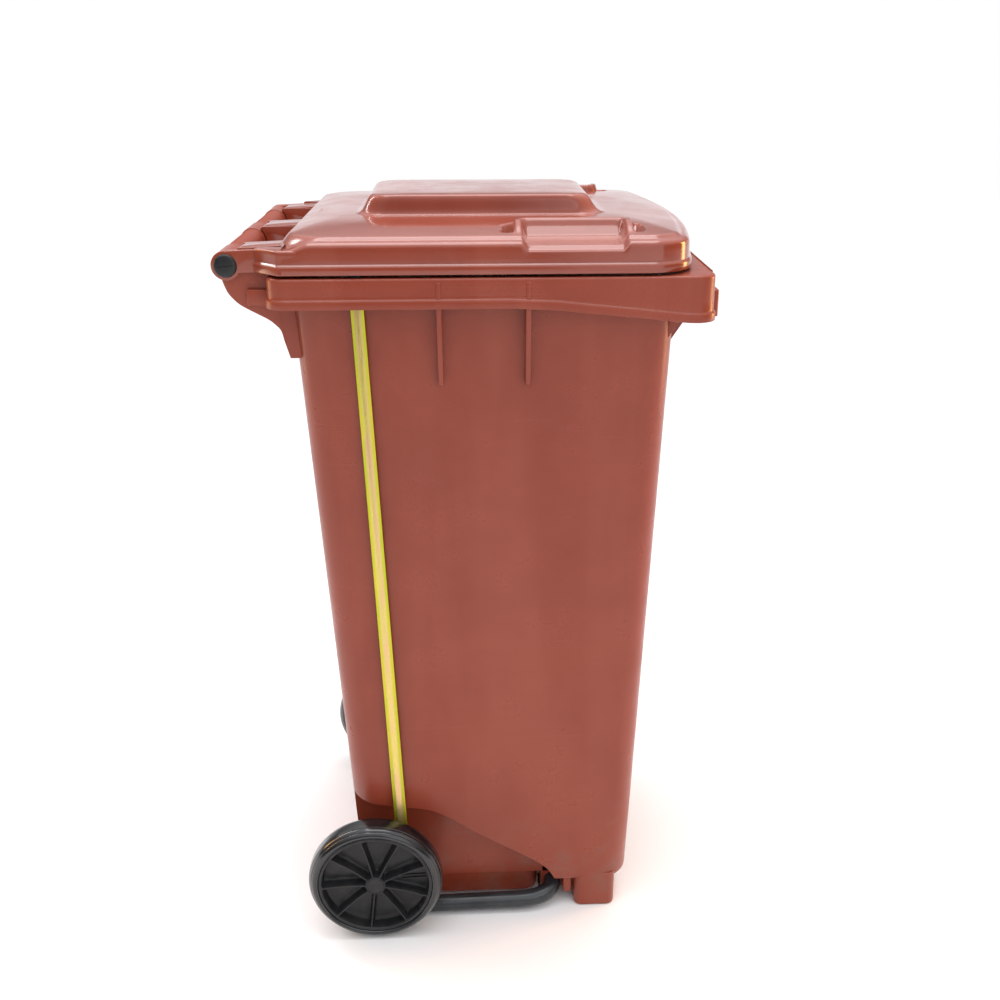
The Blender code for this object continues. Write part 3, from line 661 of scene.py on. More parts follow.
def tub(inset, bottom, top):
    rounding = [(0.012 * (1 - cos(a)), 0.012 * (1 - sin(a))) for a in np.linspace(0, pi / 2, 6)]
    rings = [shell_ring(bottom + dz, inset + extra) for dz, extra in rounding]
    rings += [shell_ring(z, inset) for z in np.linspace(0.1, top, 6)]
    solid = loft("tub", rings)
    well_x = (WELL_X[0] + inset, WELL_X[1] - inset)
    well_y = WELL_Y - inset
    well = slab("well", well_x, (-well_y, well_y), (WELL_Z + inset, 0.1), 0.02 - inset, 6)
    combine(solid, [well], "UNION")
    cuts = [prism("recess", recess_outline(inset), *side) for side in both((RECESS_Y - inset, 0.3))]
    half = TOE_HALF + inset
    toe = [(TOE_REAR - inset, BASE_Z - 0.03), (TOE_REAR - inset, TOE_TOP - 0.03),
        (TOE_REAR + 0.006, TOE_TOP - 0.012), (TOE_REAR + 0.016, TOE_TOP - 0.003),
        (TOE_REAR + 0.03, TOE_TOP + inset), (0.3, TOE_TOP + inset), (0.3, BASE_Z - 0.03)]
    cuts.append(prism("toe", toe, -half, half))
    cut(solid, *cuts)
    return solid


def on_recess_edge(edge):
    """The outer edges of the wheel recesses and of the toe opening."""
    points = [vert.co for vert in edge.verts]
    beside = all(abs(p.y) > 0.158 and p.z < 0.21 and p.z > BASE_Z + 0.002 for p in points)
    toe = all(p.x > 0.185 and abs(p.y) < TOE_HALF + 0.002 and p.z < TOE_TOP + 0.002 for p in points)
    return beside or toe


RIB = mm((205, 756), (223.5, 757.5), (225.5, 760), (238.5, 850), (238.5, 872), (205, 872))
FRONT_GUSSET = mm((215, 788), (223.5, 788), (240, 813), (248, 829), (248, 872), (215, 872))
CORNER_GUSSET = mm((205, 796), (213, 796), (236, 831), (248, 831), (248, 872), (205, 872))
GUSSETS = ((FRONT_GUSSET, (-0.165, -0.055, 0.055, 0.165), 0.0028),
    (CORNER_GUSSET, (-0.2, 0.2), 0.003))


def build_shell():
    shell = tub(0.0, BASE_Z, BODY_TOP)
    round_edges(shell, 0.0022, 28, on_recess_edge)
    hollow = tub(WALL, BASE_Z + WALL, 0.9)
    cut(hollow, slab("axle_box", (-0.2, -0.112), (-0.2, 0.2), (0.0, 0.114), 0.004, 8))
    cuts = [hollow]
    cuts += [slab("pocket", (-0.1545, -0.116), y, (0.0, 0.11), 0.003)
        for y in ((-0.1465, -0.055), (-0.051, 0.051), (0.055, 0.1465))]
    cuts.append(bore(AXLE_BORE, (-0.2, 0.2), AXLE))
    cut(shell, *cuts)
    seat = arc(PIVOT, TUBE_RADIUS + 0.0004, 0, 180, 16)
    seat += [(PIVOT[0] - TUBE_RADIUS - 0.0004, 0.0), (PIVOT[0] + TUBE_RADIUS + 0.0004, 0.0)]
    extras = []
    for side in both((0.118, 0.15)):
        saddle = slab("saddle", (0.084, 0.12), side, (0.015, 0.06), 0.003, 4, 0.0008)
        cut(saddle, prism("seat", seat, *past(side)))
        extras.append(saddle)
    extras += [slab("stop", (0.1142, 0.1262), side, (0.018, 0.055), 0.003, 4, 0.001)
        for side in both((0.118, 0.168))]
    extras += [build_foot(side) for side in both(FOOT_Y)]
    for x in RIB_XS:
        for sign in (-1, 1):
            rib = [(sign * y, z) for y, z in RIB]
            extras.append(prism("rib", rib, x - 0.0028, x + 0.0028, 0.0009, "yz"))
    for outline, ys, half in GUSSETS:
        for y in ys:
            extras.append(prism("gusset", outline, y - half, y + half, 0.0008))
    moulding("body_shell", "bin", [shell] + extras, "body")


def build_foot(side):
    """A moulded foot, drawn in a little towards its flat sole."""
    levels = ((0.0, 0.003), (0.0006, 0.0018), (0.002, 0.0008), (0.0045, 0.0004),
        (BASE_Z + 0.014, 0.0))
    return loft("foot", [at_height(rounded_box(*[(low + inset, high - inset) for low,
        high in (FOOT_X, side)], 0.01), z) for z, inset in levels])


def skirt_bottom(x):
    """Lower edge of the rim's skirt, deeper towards the front."""
    return np.interp(x, *mm((-300, 40, 50, 62, 95.5, 121, 181, 216, 232, 246, 300),
        (844.5, 844.5, 844.3, 843.6, 842, 839, 833, 829, 827.4, 827, 827)))


def build_rim():
    def rim(inset):
        return plan(RIM_FRONT - inset, RIM_REAR + inset, RIM_HALF - inset, 0.024 - inset,
            0.024 - inset, 0.0, EVEN)

    def mouth(inset):
        rear, front, half = tub_limits(MOUTH_Z, inset)
        return plan(front, rear, half, CORNER - inset, CORNER - inset, 0.0, EVEN)

    low = skirt_bottom(rim(0.0)[:, 0])
    band = mm((1, 0), (0.3, 0.2), (0, 0.9), (0, 8.2), (0.2, 8.6), (1.2, 9.8), (2, 10.5), (2.3, 11))
    rings = [at_height(rim(inset), low + dz) for inset, dz in band]
    rings.append(at_height(rim(0.0023), low * 0.5 + 0.872 * 0.5))
    radius = 0.0034
    for a in np.linspace(0, pi / 2, 7):
        rings.append(at_height(rim(0.0023 + radius * (1 - cos(a))),
            RIM_TOP - radius * (1 - sin(a))))
    rings.append(at_height(rim(0.009), RIM_TOP))
    for a in np.linspace(0, pi / 2, 5):
        rings.append(at_height(mouth(WALL - 0.0015 * (1 - sin(a))),
            RIM_TOP - 0.0015 * (1 - cos(a))))
    rings += [at_height(mouth(inset), z) for inset, z in ((WALL, 0.87), (0.001, 0.87),
        (0.0005, 0.8722))]
    inside = ((0.0046, 0.8722), (0.0036, 0.8712), (0.0034, low + 0.0004), (0.0028, low))
    rings += [at_height(rim(inset), z) for inset, z in inside]
    piece = loft("rim", rings, loop=True)
    cut(piece, *[slab("slot", (-0.1315, -0.1095), side, (0.868, 0.9), 0.002)
        for side in both(ROD_SLOT_Y)])
    extras = [slab("lip", (0.258, LIP_FRONT), (-0.2, 0.2), LIP_Z, 0.0045, 6, 0.0012)]
    tooth = [(0.2588, RIM_TOP - 0.001), (0.2588, RIM_TOP), (0.26, RIM_TOP + 0.0008),
        (0.2618, RIM_TOP + 0.0006), (0.2626, RIM_TOP - 0.001)]
    for y in [TOOTH_PITCH * k for k in range(-31, 32)]:
        extras.append(prism("tooth", tooth, y - 0.001, y + 0.001))
    extras += [slab("tab", (-0.2375, -0.2), side, (0.844, 0.8605), 0.0012, 3, 0.0008)
        for side in both((0.199, 0.206))]
    moulding("body_rim", "bin", [piece] + extras)


def ear_outline():
    rear = mm((-5, -19), (-0.8, -29.6), (7.8, -39.7), (17.8, -46.5), (37.9, -57.4), (45.9, -63.5),
        (52, -70.7), (55, -82.8), (60, -101))
    rear = smooth_through(rear, 5) + [(0.076, -0.101)]
    front = [(0.076, -0.0125)]
    meet = degrees(asin(0.0155 / 0.05))
    round_top = arc((0, 0), 0.05, -14, meet, 6)
    behind = arc((0, 0), KNUCKLE, 90, 244, 26)
    return from_hinge(front + round_top + behind + rear)


def web_outline():
    slant = smooth_through(mm((12.2, -10), (30, -22), (48, -36.5), (56, -48), (60, -60)), 4)
    top = mm((76, -60), (76, -11), (48, -11), (32, -10.5), (15, -2.5), (4, 4))
    return from_hinge([(0.004, -0.01)] + slant + top)


def build_handle():
    """The bar on the hinge line, its two ears and the slanted webs under the lid's arms."""
    end = 0.1995
    profile = [(0, -end), (KNUCKLE - 0.0005, -end), (KNUCKLE, -end + 0.0005)]
    for sign in (-1, 1):
        stretch = [(KNUCKLE, ARM_OUTER), (GRIP_RADIUS, ARM_OUTER - 0.001),
            (GRIP_RADIUS, ARM_CENTRE + 0.001), (KNUCKLE, ARM_CENTRE)]
        stretch = [(radius, sign * y) for radius, y in stretch]
        profile += stretch if sign < 0 else list(reversed(stretch))
    profile += [(KNUCKLE, end - 0.0005), (KNUCKLE - 0.0005, end), (0, end)]
    bar = turned("bar", profile, 64, HINGE)
    cut(bar, *[bore(PIN_BORE, side, HINGE) for side in both((0.153, 0.25))])
    parts = [bar] + [prism("web", web_outline(), *side, 0.001) for side in both((0.156, 0.1845))
        + ((-0.0205, 0.0205),)]
    for side in both(EAR_Y):
        ear = prism("ear", ear_outline(), *side, 0.0007)
        cut(ear, bore(PIN_BORE, past(side), HINGE))
        parts.append(ear)
    moulding("body_handle", "bin", parts)
    for y0, y1 in both((ARM_CENTRE + 0.0025, ARM_OUTER - 0.0025)):
        build_grip(y0, y1)


def build_grip(y0, y1):
    """The bar's textured stretch: rows of small pips, each raised a little from the bar."""
    rows, around = 76, 48
    profile_points = []
    for i in range(rows * 2 + 1):
        y = y0 + (y1 - y0) * i / (rows * 2)
        edge = min(1.0, (min(i, rows * 2 - i)) / 3)
        for k in range(around * 2):
            raised = 0.00042 * edge * (1 if (i % 2 and (k + (i // 2) % 2) % 2) else 0)
            radius = GRIP_RADIUS - 0.0003 + 0.00045 * edge + raised
            a = 2 * pi * k / (around * 2)
            profile_points.append((HINGE[0] + radius * cos(a), y, HINGE[1] + radius * sin(a)))
    count = around * 2
    rings = [profile_points[i * count:(i + 1) * count] for i in range(rows * 2 + 1)]
    name = "body_grip_right" if y0 < 0 else "body_grip_left"
    dress(loft("grip", rings, sharp=60), name, BODY_PLASTIC, "bin", "brown_plastic")


# ---- lid

GRIP_REACH = (0.03, 0.194)


def lid_stations():
    """Fractions along the lid's side, closer together beside the hand grip."""
    front, rear = 0.1955, LID_REAR + LID_REAR_CORNER
    xs = [front] + list(np.arange(GRIP_REACH[1], GRIP_REACH[0], -0.0013))
    xs += list(np.linspace(GRIP_REACH[0], rear, 64, endpoint=False))
    return (front - np.array(xs)) / (front - rear)


STATIONS = lid_stations()


def lid_plan(inset, rear_inset=None, corner=0.052, rear_corner=LID_REAR_CORNER):
    rear_inset = inset if rear_inset is None else rear_inset
    return plan(LID_FRONT - inset, LID_REAR + rear_inset, LID_HALF - inset, corner - inset,
        max(rear_corner - inset, 0.001), 0.018, STATIONS)


def with_rear_shelf(outline, z):
    """Lowers the shoulder to the shelf behind the dome's rear corners."""
    share = smoothstep(-outline[:, 0], 0.163, 0.191)
    top = BEAD_Z + (z - BEAD_Z) * (SHELF_TOP - BEAD_Z) / (SHOULDER_TOP - BEAD_Z)
    return np.where(z > BEAD_Z, z + (top - z) * share, z)


def with_grip(points):
    """Forms the side hand grips: a narrow ridge round a sloping basin that opens to the side."""
    x, y, z = points[:, 0], points[:, 1], points[:, 2]
    u, v = np.abs(x - GRIP_MIDDLE), np.abs(y)
    qx, qy = u - (GRIP_HALF - GRIP_CORNER), GRIP_INNER + GRIP_CORNER - v
    # d is the distance out from the basin's edge; it is negative inside
    d = np.hypot(np.maximum(qx, 0), np.maximum(qy, 0)) + np.minimum(np.maximum(qx, qy),
        0) - GRIP_CORNER
    ridge_top = RIDGE_INNER + (RIDGE_OUTER - RIDGE_INNER) * smoothstep(v, 0.18, 0.226)
    crown = (1 - smoothstep(d, 0.0022, 0.0075)) * (1 - smoothstep(v, 0.21, 0.2275))
    ridge = z + np.maximum(ridge_top - z, 0) * crown
    corner = smoothstep(u, 0.032, 0.046) * (1 - smoothstep(v, 0.19, 0.206))
    moat = np.clip(1 - np.abs(d - MOAT_CENTRE) / MOAT_HALF, 0, 1)
    ridge = ridge - MOAT_DEPTH * corner * smoothstep(moat, 0, 0.8)
    floor = np.interp(v, BASIN_Y, BASIN_Z)
    skirt = BEAD_Z + (z - BEAD_Z) * (BASIN_LIP - BEAD_Z) / (SKIRT_TOP - BEAD_Z)
    rise = np.clip((z - SKIRT_TOP) / (SHOULDER_TOP - SKIRT_TOP), 0, 1)
    lip = BASIN_LIP + (floor - BASIN_LIP) * rise
    inside = np.where(v > BASIN_MOUTH, np.where(z <= SKIRT_TOP, skirt, lip), floor)
    wall = smoothstep(d, -0.01, -0.0015)
    formed = inside + (ridge - inside) * wall
    near = (v > 0.14) & (u < 0.086) & (z > BEAD_Z)
    return np.where(near, formed, z)


def between(start, end, shares):
    """Rings from start towards end; each has its share of the way across and of the way up."""
    made = []
    for across, up in shares:
        ring = start + (end - start) * across
        ring[:, 2] = start[:, 2] + (end[:, 2] - start[:, 2]) * up
        made.append(ring)
    return made


# Lower part of the skirt, as (inset, height): its foot, then the step of the bead
SKIRT_FOOT = mm((0.8, 879.5), (0.3, 879.65), (0, 880.1))
SKIRT_BEAD = mm((0, 887.4), (0.2, 887.9), (1.4, 889.3), (2.2, 890)) + [(0.0026, BEAD_Z)]


def lid_surface():
    """Rings of the lid's outer skin, from its lower edge to the middle of the plateau."""
    skirt = SKIRT_FOOT + [(0.0, 0.884)] + SKIRT_BEAD
    skirt += mm((2.6, 892.5), (2.7, 895.5), (2.8, 898.5), (2.9, 901.5),
        (3, 904)) + [(0.0032, SKIRT_TOP)]
    rings = [at_height(lid_plan(inset), z) for inset, z in skirt]
    for a in np.linspace(0, pi / 2, 10)[1:]:
        outline = lid_plan(0.0032 + 0.0078 * (1 - cos(a)))
        rings.append(at_height(outline, SKIRT_TOP + (SHOULDER_TOP - SKIRT_TOP) * sin(a)))
    rings = [np.column_stack([ring[:, :2], with_rear_shelf(ring, ring[:, 2])]) for ring in rings]
    foot = rings[-1]
    toe = lid_plan(0.0125, 0.003, 0.052, 0.058)
    shelf = np.column_stack([toe, with_rear_shelf(toe, np.full(len(toe), SHOULDER_TOP + 0.0003))])
    rings += between(foot, shelf, [(f, f) for f in (0.25, 0.5, 0.75, 1.0)])
    edge = at_height(lid_plan(0.0205, 0.016, 0.052, 0.066), DOME_EDGE)
    rings += between(shelf, edge, [(f, sin(f * pi / 2) ** 1.25)
        for f in (0.12, 0.25, 0.4, 0.55, 0.7, 0.85, 1.0)])
    base = at_height(plateau_plan(0.0), DOME_TOP)
    shares = list(np.linspace(0, 0.55, 47)[1:]) + list(np.linspace(0.55, 1.0, 16)[1:])
    rings += between(edge, base, [(f, 1 - (1 - f) ** 2.3) for f in shares])
    top = at_height(plateau_plan(1.0), PLATEAU_EDGE)
    wall = [(0.1, 0.012), (0.19, 0.045), (0.27, 0.1), (0.34, 0.18), (0.4, 0.28), (0.46, 0.4),
        (0.52, 0.53), (0.58, 0.66), (0.64, 0.77), (0.71, 0.87), (0.79, 0.94), (0.89, 0.985),
        (1.0, 1.0)]
    rings += between(base, top, wall)
    middle = np.array([sum(PLATEAU_X) / 2, 0.0])
    for scale, drop in ((0.95, 0.0008), (0.85, 0.0004), (0.65, 0.0002), (0.4, 0.0001), (0.15, 0.0)):
        ring = top.copy()
        ring[:, :2] = middle + (top[:, :2] - middle) * scale
        ring[:, 2] = PLATEAU_TOP - drop
        rings.append(ring)
    return [np.column_stack([ring[:, :2], with_grip(ring)]) for ring in rings]


def plateau_plan(share):
    """The plateau's plan, from its foot at 0 to its top edge at 1."""
    front = PLATEAU_X[1] - 0.031 * share
    rear = PLATEAU_X[0] + 0.0235 * share
    radius = 0.03 - 0.008 * share
    return plan(front, rear, PLATEAU_HALF - 0.0085 * share, radius, radius, 0.0, STATIONS)


def offset_inward(rings, depth):
    """The inner skin: each point moved inward along the outer skin's normal."""
    grid = np.array(rings)
    around = np.roll(grid, -1, axis=1) - np.roll(grid, 1, axis=1)
    along = np.gradient(grid, axis=0)
    normal = np.cross(around, along)
    normal /= np.maximum(np.linalg.norm(normal, axis=2, keepdims=True), 1e-9)
    inner = grid - normal * depth
    inner[:, :, 2] = np.maximum(inner[:, :, 2], LID_BOTTOM)
    return inner


def build_lid():
    outer = lid_surface()
    inner = offset_inward(outer, LID_SKIN)
    kept = list(range(len(outer) - 1, 3, -3))
    rings = [inner[i] for i in kept]
    rings.append(at_height(lid_plan(LID_SKIN + 0.0006), LID_BOTTOM + 0.0006))
    rings.append(at_height(lid_plan(LID_SKIN - 0.0002), LID_BOTTOM))
    rings += outer
    shell = loft("lid", rings, sharp=40)
    dress(shell, "lid_shell", LID_PLASTIC, "lid", "brown_plastic", "lid")
    moulding("lid_corners", "lid", [lid_corner(sign) for sign in (-1, 1)])
    build_arms()


def lid_corner(sign):
    """The chamfered corner beside each outer arm, with the skirt's band running on around it."""
    corners = mm((-176, 204.5), (-227.5, 204.5), (-227.5, 207.5), (-200.5, 235), (-198.5, 235.9),
        (-176, 235.9))
    middle = (-0.195, 0.2195)

    def ring(inset, z):
        shrink = [(x + inset * (1 if x < middle[0] else -1) * (x < -0.2),
            y - inset * (1 if y > middle[1] else 0)) for x, y in rounded(corners, 0.0035)]
        return [(x, sign * y, z) for x, y in shrink]

    levels = SKIRT_FOOT + SKIRT_BEAD + [(0.0028, 0.899)]
    levels += [(0.0028 + 0.0026 * (1 - cos(a)), 0.9019 + 0.0026 * sin(a))
        for a in np.linspace(0, pi / 2, 6)]
    return loft("corner", [ring(inset, z) for inset, z in levels])


def rounded(points, radius):
    """A polygon with each corner cut back and rounded by a short curve."""
    made = []
    count = len(points)
    for i, here in enumerate(points):
        before, after = np.array(points[i - 1]), np.array(points[(i + 1) % count])
        here = np.array(here)
        back, on = before - here, after - here
        reach = min(radius, 0.45 * np.linalg.norm(back), 0.45 * np.linalg.norm(on))
        start = here + back / np.linalg.norm(back) * reach
        end = here + on / np.linalg.norm(on) * reach
        made += curve_points(start, here, end, 4)
    return made


EYE = from_hinge([(0.07, -0.0062), (0.07, 0.0185), (0.03, 0.0165)]
    + arc((0, 0), ARM_RADIUS, 86, 330, 40) + [(0.032, -0.007)])
CHEEK = from_hinge([(0.07, -0.0062), (0.07, 0.0165), (0.0115, 0.0165)]
    + arc((0, 0), KNUCKLE + 0.001, -22, 55, 10)[::-1] + [(0.032, -0.007)])
ROOF = from_hinge(mm((11.5, 13.8), (70, 14), (70, 18.8), (30, 17.2), (15, 16.6), (11.2, 15)))


def build_arms():
    parts = []
    for y0, y1 in both((ARM_OUTER, 0.1905)) + ((-ARM_CENTRE, ARM_CENTRE),):
        for outline, ends in ((CHEEK, (y0, y0 + 0.004)), (CHEEK, (y1 - 0.004, y1)),
                (ROOF, (y0 + 0.0004, y1 - 0.0004))):
            parts.append(prism("arm", outline, *ends, 0.0007))
    for side in both(EYE_Y):
        eye = prism("eye", EYE, *side, 0.0008)
        cut(eye, bore(PIN_BORE, past(side), HINGE))
        parts.append(eye)
    moulding("lid_arms", "lid", parts)


# ---- hinge pins

def build_pin(sign, side):
    """A black pin with a low domed cap and a tool slot across it."""
    profile = [(0, 0.20878), (0.006, 0.20872), (0.0095, 0.2083), (0.0112, 0.2077), (0.012, 0.2068),
        (0.0122, 0.2062), (0.0122, PIN_EDGE), (PIN_BORE - 0.0004, PIN_EDGE),
        (PIN_BORE - 0.0004, 0.156), (0.007, 0.154), (0, 0.154)]
    pin = turned("pin", [(radius, sign * y) for radius, y in profile], 72, HINGE)
    slot = prism("slot", rounded_box((HINGE[0] - 0.0085, HINGE[0] + 0.0085),
        (HINGE[1] - 0.00045, HINGE[1] + 0.00045), 0.0003, 3), *sorted((sign * 0.208, sign * 0.212)))
    slot.data.transform(Matrix.Translation((HINGE[0], 0, HINGE[1])) @ Matrix.Rotation(radians(-6),
        4, "Y") @ Matrix.Translation((-HINGE[0], 0, -HINGE[1])))
    cut(pin, slot)
    dress(pin, f"pin_{side}", BLACK, "bin", "black_plastic", f"hinge_pin_{side}")


# ---- wheels

def outward(sign, profile):
    return [(radius, sign * (WHEEL_FACE - depth)) for radius, depth in profile]


# Across a fin: offset from its middle, and share of the way down to the web
FIN_HALF = [(0.0008, 0.0), (0.00115, 0.06), (0.0015, 0.34), (0.0021, 0.72), (0.003, 0.93),
    (0.0042, 1.0)]
FIN_STATIONS = [(-across, share) for across, share in FIN_HALF[::-1]] + FIN_HALF


def spoked_face(radius, top, web):
    """One ring of (angle, depth) around the wheel's face: nine drafted fins over a sunken web."""
    ring = []
    for k in range(SPOKES):
        middle = SPOKE_PHASE + 2 * pi * k / SPOKES
        for across, share in FIN_STATIONS:
            ring.append((middle + across / radius, top + (web - top) * share))
        start = middle + FIN_STATIONS[-1][0] / radius
        end = middle + 2 * pi / SPOKES + FIN_STATIONS[0][0] / radius
        ring += [(start + (end - start) * i / 8, web) for i in range(1, 8)]
    return ring


def on_wheel(sign, radius, angle, depth):
    return (AXLE[0] + radius * cos(angle), sign * (WHEEL_FACE - depth),
        AXLE[1] + radius * sin(angle))


def build_wheel(sign, side):
    """The plastic wheel: hub nose, fins, web and rim, with a plain ribbed back."""
    levels = mm((12.8, 1.1, 1.1), (13.1, 1.3, 1.6), (13.4, 2, 4), (13.8, 2.4, 11), (14.6, 2.6, 15),
        (16.5, 3, 16.6), (20, 3.6, 17), (28, 4.4, 17.2), (38, 4.8, 17.4), (50, 4.4, 17.6),
        (60, 3.6, 17.6), (66, 3, 17.2), (68.2, 2.8, 16), (69.2, 2.6, 13), (69.6, 2.5, 8),
        (70, 2.4, 3.2), (70.5, 2.1, 2.2), (71.2, 1.8, 1.8))
    rings = [[on_wheel(sign, radius, a, depth) for a, depth in spoked_face(radius, top, web)]
        for radius, top, web in levels]
    angles = [a for a, depth in spoked_face(0.07, 0.0, 0.0)]
    back = WHEEL_WIDTH - 0.0015
    behind = [(0.073, 0.0016), (0.0741, 0.0019), (RIM_RADIUS, 0.0026), (RIM_RADIUS, back),
        (0.0735, back + 0.0004), (0.0708, back + 0.0004), (0.0702, back - 0.0004)]
    behind += mm((69.8, 26.2), (69, 24.7), (44, 24.5), (43, 26.2), (41.8, 26.2), (40.8, 24.5),
        (18, 24.7), (17.2, 26.2))
    behind += [(0.0168, back), (0.016, back + 0.0005), (0.0093, back + 0.0005)]
    behind += mm((9.3, 9.2), (11.5, 9.2), (11.5, 1.2), (11.9, 0.9), (12.4, 0.9))
    rings += [[on_wheel(sign, radius, a, depth) for a in angles] for radius, depth in behind]
    wheel = loft("wheel", rings, loop=True, sharp=38)
    bars = []
    middle = SPOKE_PHASE + 2 * pi / SPOKES * -0.5
    for shift in (-0.0024, 0.0024):
        bar = slab("bar", (0.034, 0.0655), (-0.0009, 0.0009), (0.0, 0.0022), 0.0008, 3, 0.0004)
        along = Vector((cos(middle), 0, sin(middle)))
        across = Vector((-sin(middle), 0, cos(middle)))
        turn = Matrix((along, across, Vector((0, sign, 0)))).transposed().to_4x4()
        start = Vector((AXLE[0], sign * (WHEEL_FACE - 0.018), AXLE[1])) + across * shift
        bar.data.transform(Matrix.Translation(start) @ turn)
        if turn.determinant() < 0:
            bar.data.flip_normals()
        bars.append(bar)
    dress(merge("wheel", [wheel] + bars), f"wheel_{side}_look", BLACK, f"wheel_{side}",
        "black_plastic", f"wheel_{side}")
    cap = mm((0, 0.6), (10, 0.6), (10.8, 0.8), (11.2, 1.3), (11.2, 4.6), (0, 4.6))
    dress(turned("cap", outward(sign, cap), 64, AXLE), f"cap_{side}", BLACK, f"wheel_{side}",
        "black_plastic", f"hub_cap_{side}")


def build_tyre(sign, side):
    """Solid tyre: rounded shoulders, a rolled inner edge and fine moulded grooves."""
    inner = RIM_RADIUS + 0.0003
    half = [(inner, 0.003), (inner + 0.0001, 0.0016), (inner + 0.0006, 0.0008)]
    half += mm((76.2, 0.4), (76.8, 0.6), (77.1, 0.9), (77.4, 0.5), (78.4, 0.2), (80, 0.6),
        (81.5, 1.5), (82.8, 2.8), (83.4, 3.6), (83.6, 4.4), (84.2, 4.6), (85.2, 6), (86.2, 8),
        (86.6, 9.2), (86.7, 10.2), (87.3, 10.6), (87.7, 12.4), (87.95, 14.8))
    half.append((WHEEL_RADIUS, 0.0164))
    mirrored = [(radius, WHEEL_WIDTH - depth) for radius, depth in reversed(half)]
    tyre = turned("tyre", outward(sign, half + mirrored), 144, AXLE, sharp=40)
    dress(tyre, f"tyre_{side}_look", TYRE, f"wheel_{side}", "tyre_rubber", f"tyre_{side}")


# ---- pedal and rods

def build_pedal():
    rear = (-0.078, PEDAL_ARM_Y, ROD_PIN[1])
    straight = [(-0.077, PEDAL_ARM_Y, ROD_PIN[1] + 0.00005)]
    bend = curve_points((0.052, PEDAL_ARM_Y, 0.016), (0.0985, PEDAL_ARM_Y, 0.018),
        (PIVOT[0], 0.152, PIVOT[1]), 18)
    half = [rear] + straight + bend
    path = half + [(x, -y, z) for x, y, z in reversed(half)]
    parts = [tube_along("tube", path, TUBE_RADIUS)]
    for side in both((PEDAL_ARM_Y - 0.0025, PEDAL_ARM_Y + 0.0025)):
        lug = arc(ROD_PIN, 0.0105, 90, 270, 18) + [(-0.07, ROD_PIN[1] - 0.0095),
            (-0.07, ROD_PIN[1] + 0.0095)]
        plate = prism("lug", lug, *side, 0.0006)
        cut(plate, bore(BOLT_BORE, past(side), ROD_PIN, 32))
        parts.append(plate)
    lever = mm((100, 19), (103, 30), (110, 37.2), (157, 51), (203, 55), (203, 52), (158, 45),
        (120, 33))
    parts += [prism("lever", lever, y, y + 0.005, 0.0007) for y in (-0.036, 0.031)]
    plate = mm((156, 50.5), (203.5, 54.5), (203.5, 57.5), (156, 53.5))
    parts.append(prism("plate", plate, -0.055, 0.055, 0.0007))
    dress(merge("pedal", parts), "pedal_look", DARK_STEEL, "pedal", "dark_steel", "pedal_frame")

    base = mm((157, 54), (203, 57.9), (202.5, 64), (200.5, 64.6), (159, 61.1), (157, 60))
    pads = [prism("pad", base, -0.054, 0.054, 0.0009)]
    for k in range(7):
        x = 0.1615 + 0.0058 * k
        z = 0.0604 + 0.087 * (x - 0.157)
        ridge = [(x, z - 0.001), (x + 0.0026, z - 0.001), (x + 0.002, z + 0.0016),
            (x + 0.0006, z + 0.0016)]
        pads.append(prism("ridge", ridge, -0.05, 0.05, 0.0003))
    dress(merge("pad", pads), "pedal_pad_look", TREAD, "pedal", "black_rubber", "pedal_pad")


def build_rod(sign, side):
    """The flat strip, with softened edges, leaning outward with the body's side."""
    half = ROD_WIDTH / 2
    top = arc(ROD_TOP, half, 0, 180, 20)
    bottom = arc(ROD_PIN, half + 0.001, 180, 360, 20)
    outline = top + bottom
    middle = ((ROD_TOP[0] + ROD_PIN[0]) / 2, (ROD_TOP[1] + ROD_PIN[1]) / 2)
    rings = []
    edge = 0.0005
    for offset, inset in ((0.0, edge), (edge * 0.3, edge * 0.3), (edge, 0.0),
            (ROD_THICK - edge, 0.0), (ROD_THICK - edge * 0.3, edge * 0.3), (ROD_THICK, edge)):
        ring = []
        for x, z in outline:
            centre = ROD_TOP if z > middle[1] else ROD_PIN
            away = hypot(x - centre[0], z - centre[1])
            x, z = (c + (p - c) * (1 - inset / away) for p, c in zip((x, z), centre))
            ring.append((x, sign * (ROD_INNER_Y + ROD_LEAN * (z - ROD_PIN[1]) + offset), z))
        rings.append(ring)
    rod = loft("rod", rings)
    cut(rod, bore(BOLT_BORE, (sign * 0.17, sign * 0.19), ROD_PIN, 32))
    dress(rod, f"rod_{side}_look", ZINC, f"rod_{side}", "yellow_zinc", f"push_rod_{side}")


def paint_carried_nodes():
    """Pieces that keep their CAD shape and take a full finish."""
    finishes = {"axle": STEEL, "axle_clip": STEEL, "axle_spacer": BLACK, "lift_shoe": BLACK,
        "pivot_clamp": DARK_STEEL, "clamp_screw": STEEL, "rod_bolt": STEEL, "rod_nut": STEEL}
    for name, piece in frame["nodes"].items():
        for start, surface in finishes.items():
            if name.startswith(start):
                piece.data.materials.clear()
                piece.data.materials.append(surface)


# ---- stage, light and camera

FLOOR_RADIUS = 9.0


def build_stage():
    turns = np.linspace(0, 2 * pi, 64, endpoint=False)
    disc = [(FLOOR_RADIUS * cos(a), FLOOR_RADIUS * sin(a)) for a in turns]
    floor = loft("floor", [at_height(disc, z) for z in (-0.02, 0.0)])
    floor.data.materials.append(pale_floor())


def area_light(name, place, target, size, power, colour=(1.0, 1.0, 1.0), spread=180):
    data = bpy.data.lights.new(name, "AREA")
    data.shape = "RECTANGLE"
    data.size, data.size_y = size
    data.energy = power
    data.color = colour
    data.spread = radians(spread)
    light = bpy.data.objects.new(name, data)
    light.location = place
    light.rotation_euler = (Vector(target) - Vector(place)).to_track_quat("-Z", "Y").to_euler()
    bpy.context.scene.collection.objects.link(light)


